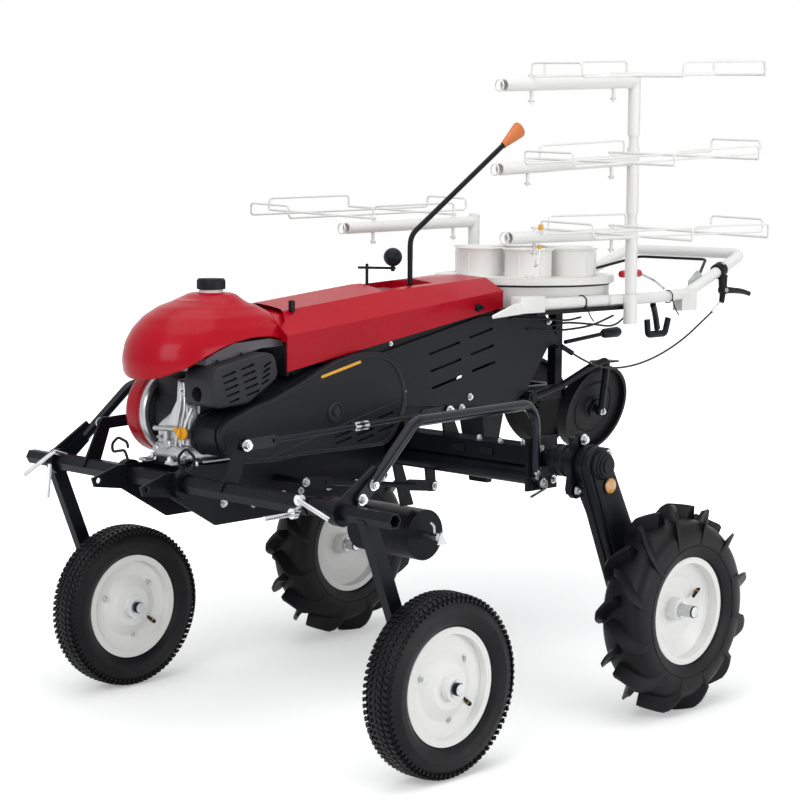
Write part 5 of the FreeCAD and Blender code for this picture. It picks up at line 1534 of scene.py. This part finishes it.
# %% Flange ears, grommets and roller trim
def axle_trim():
    for side, y0, y1 in (("left", 553, 564.6), ("right", -374.6, -363)):
        ears = [rod(radius, y0, y1, spot(x, 0, z), steps=28)
                for x, z, radius in ((-525, 568, 16), (-508, 465, 17), (-604, 530, 13))]
        strap = [(-492, 575), (-495, 543), (-483, 469), (-487, 458), (-527, 457), (-520, 523),
                 (-535, 575)]
        branch = [(-510, 562), (-510, 500), (-600, 518), (-606, 543)]
        strut = [(-524, 456), (-545, 420), (-572, 373), (-608, 297), (-632, 282), (-592, 368),
                 (-564, 414), (-543, 452)]
        parts = ears + [slab(line, y0, y1) for line in (strap, branch)]
        parts.append(slab(strut, y0 + 2, y0 + 7))
        piece(parts, f"flange_ears_{side}", dark_paint)
    grommets = [brick(-474.6, -471, y, y + 34, 520, 534) for y in (250, 330)]
    piece(grommets, "axle_grommets", soft_rubber)
    pin = turned([(0, 96), (9.5, 96), (9.5, 138), (7, 141), (0, 141)], spot(-550, 0, 305),
                 steps=24)
    plate = join("clip", [slab([(-572, 288), (-540, 290), (-552, 318)], 141, 143),
                          bar([(-550, 124, 312), (-548, 124, 330), (-544, 118, 336)], 3, 5)])
    piece([pin, plate], "roller_pin", zinc_plate)
    ends = []
    for y in (-95.6, 93.4):
        ends.append(turned([(10, y), (56.2, y), (56.2, y + 2.2), (10, y + 2.2)],
                           spot(-550, 0, 305), steps=56))
    piece(ends, "roller_end_discs", dark_paint, "roller")


axle_trim()

# %% [markdown]
# ## Press wheels
# The press wheels are dished discs with two raised rings and a nut. Their axles lean, so the
# trim is turned about the joint's own axis.

# %% Press wheel trim
def press_trim():
    for side, sign in SIDES:
        joint = next(item for item in frame["joints"] if item["name"] == f"{side}_press_roll")
        centre, axis = Vector(joint["pos_m"]), Vector(joint["axis"])
        out = axis * sign
        rings = [turned([(60, 1.8), (63, 4.4), (66, 1.8)], centre, out, 64),
                 turned([(22, 6), (30, 2.5), (30, 1.8), (22, 1.8)], centre, out, 40)]
        piece(rings, f"press_rings_{side}", soft_rubber, f"{side}_press_wheel")
        bolts(f"press_nut_{side}", [(centre + out * 0.0335, out, 6)])


press_trim()

# %% [markdown]
# ## Stage, light and camera
# The floor and the world are pale. The camera is a long lens a few metres away, turned to see
# the machine from its front left. The lights are broad and plain, so colours read as they are
# written. The white backdrop comes from what the camera ray sees and not from more light: the
# world is white to it, and the floor glows gently into that white away from the machine, while
# near the wheels it keeps the shadow.

# %% Stage and light
NEAR, FAR = 0.9, 2.4
FLOOR_REACH, FLOOR_GAP = 14, 0.0005
FLOOR_SHADE, FLOOR_GLOW = (0.75, 0.92), (0.30, 1.0)
SKY_COLOUR, SKY_STRENGTH = (0.96, 0.98, 1.0, 1), 0.40


def direct_look(tree):
    """1 where a camera, glossy or transmission ray looks, 0 where light is gathered."""
    seen = add(tree, "ShaderNodeLightPath")
    total = seen.outputs["Is Camera Ray"]
    for kind in ("Is Glossy Ray", "Is Transmission Ray"):
        either = add(tree, "ShaderNodeMath", operation="MAXIMUM")
        tree.links.new(total, either.inputs[0])
        tree.links.new(seen.outputs[kind], either.inputs[1])
        total = either.outputs[0]
    return total


def floor_material():
    floor = bpy.data.materials.new("floor_paint")
    floor.use_nodes = True
    tree = floor.node_tree
    matt = tree.nodes["Principled BSDF"]
    matt.inputs["Roughness"].default_value = 0.9
    matt.inputs["Specular IOR Level"].default_value = 0.05
    look = direct_look(tree)
    tree.links.new(map_range(tree, look, FLOOR_SHADE), matt.inputs["Base Color"])
    place = add(tree, "ShaderNodeTexCoord")
    length = add(tree, "ShaderNodeVectorMath", operation="LENGTH")
    tree.links.new(place.outputs["Object"], length.inputs[0])
    glow = map_range(tree, length.outputs["Value"], FLOOR_GLOW, (NEAR, FAR), "SMOOTHSTEP")
    only = add(tree, "ShaderNodeMath", operation="MULTIPLY")
    tree.links.new(glow, only.inputs[0])
    tree.links.new(look, only.inputs[1])
    matt.inputs["Emission Color"].default_value = (1, 1, 1, 1)
    tree.links.new(only.outputs[0], matt.inputs["Emission Strength"])
    return floor


def stage():
    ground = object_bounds()[0][2] - FLOOR_GAP
    floor = raw("floor", [Vector((x * FLOOR_REACH, y * FLOOR_REACH, ground)) for x, y in (
        (-1, -1), (1, -1), (1, 1), (-1, 1))], [(0, 1, 2, 3)])
    floor.data.materials.append(floor_material())
    floor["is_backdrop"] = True
    world = bpy.data.worlds.new("studio")
    bpy.context.scene.world = world
    world.use_nodes = True
    sky = world.node_tree
    white = add(sky, "ShaderNodeBackground", {"Color": (1, 1, 1, 1), "Strength": 1.0})
    soft = sky.nodes["Background"]
    soft.inputs["Color"].default_value = SKY_COLOUR
    soft.inputs["Strength"].default_value = SKY_STRENGTH
    either = add(sky, "ShaderNodeMixShader")
    sky.links.new(direct_look(sky), either.inputs["Fac"])
    sky.links.new(soft.outputs["Background"], either.inputs[1])
    sky.links.new(white.outputs["Background"], either.inputs[2])
    sky.links.new(either.outputs["Shader"], sky.nodes["World Output"].inputs["Surface"])


def lamp(name, place, target, size, power, glossy):
    light = bpy.data.lights.new(name, "AREA")
    light.shape = "RECTANGLE"
    light.size, light.size_y = size
    light.energy = power
    thing = placed(name, light)
    thing.location = place
    thing.rotation_euler = (Vector(target) - Vector(place)).to_track_quat("-Z", "Y").to_euler()
    thing.visible_glossy = glossy


# name, place, target, size, watts, seen in reflections
LAMPS = (("overhead", (0.6, 0.6, 4.2), (0, 0, 0.6), (4.0, 4.0), 84, True),
         ("front_left", (3.4, 1.4, 2.2), (0, 0, 0.5), (1.8, 1.8), 46, True),
         ("side_left", (-0.7, 4.2, 1.1), (-0.2, 0, 0.35), (3.0, 1.6), 58, True),
         ("behind_right", (-2.8, -3.4, 2.6), (0, 0, 0.8), (3.0, 2.0), 22, False))
stage()
for row in LAMPS:
    lamp(*row)
print(len(LAMPS), "lamps")

# %% [markdown]
# The camera is written as an eye, three angles and a lens. Its matrix is built from the direction
# ahead, so a small roll can be added without a target object.

# %% Camera
YAW, PITCH, ROLL = math.radians(-135.17), math.radians(6.60), math.radians(0.38)
LENS, SENSOR, EYE = 90.44, 36, (2605, 3150.7, 1114)


def camera():
    data = bpy.data.cameras.new("view")
    data.lens, data.sensor_width = LENS, SENSOR
    thing = placed("view", data)
    ahead = Vector((math.cos(PITCH) * math.cos(YAW), math.cos(PITCH) * math.sin(YAW),
                    -math.sin(PITCH)))
    level = ahead.cross(Vector((0, 0, 1))).normalized()
    upright = level.cross(ahead)
    right = level * math.cos(ROLL) + upright * math.sin(ROLL)
    up = upright * math.cos(ROLL) - level * math.sin(ROLL)
    turn = Matrix((right, up, -ahead)).transposed().to_4x4()
    thing.matrix_world = Matrix.Translation(spot(*EYE)) @ turn
    bpy.context.scene.camera = thing


camera()
bpy.context.scene.view_settings.view_transform = "Standard"
print("camera", round(math.degrees(YAW)), "degrees round,", LENS, "mm lens")
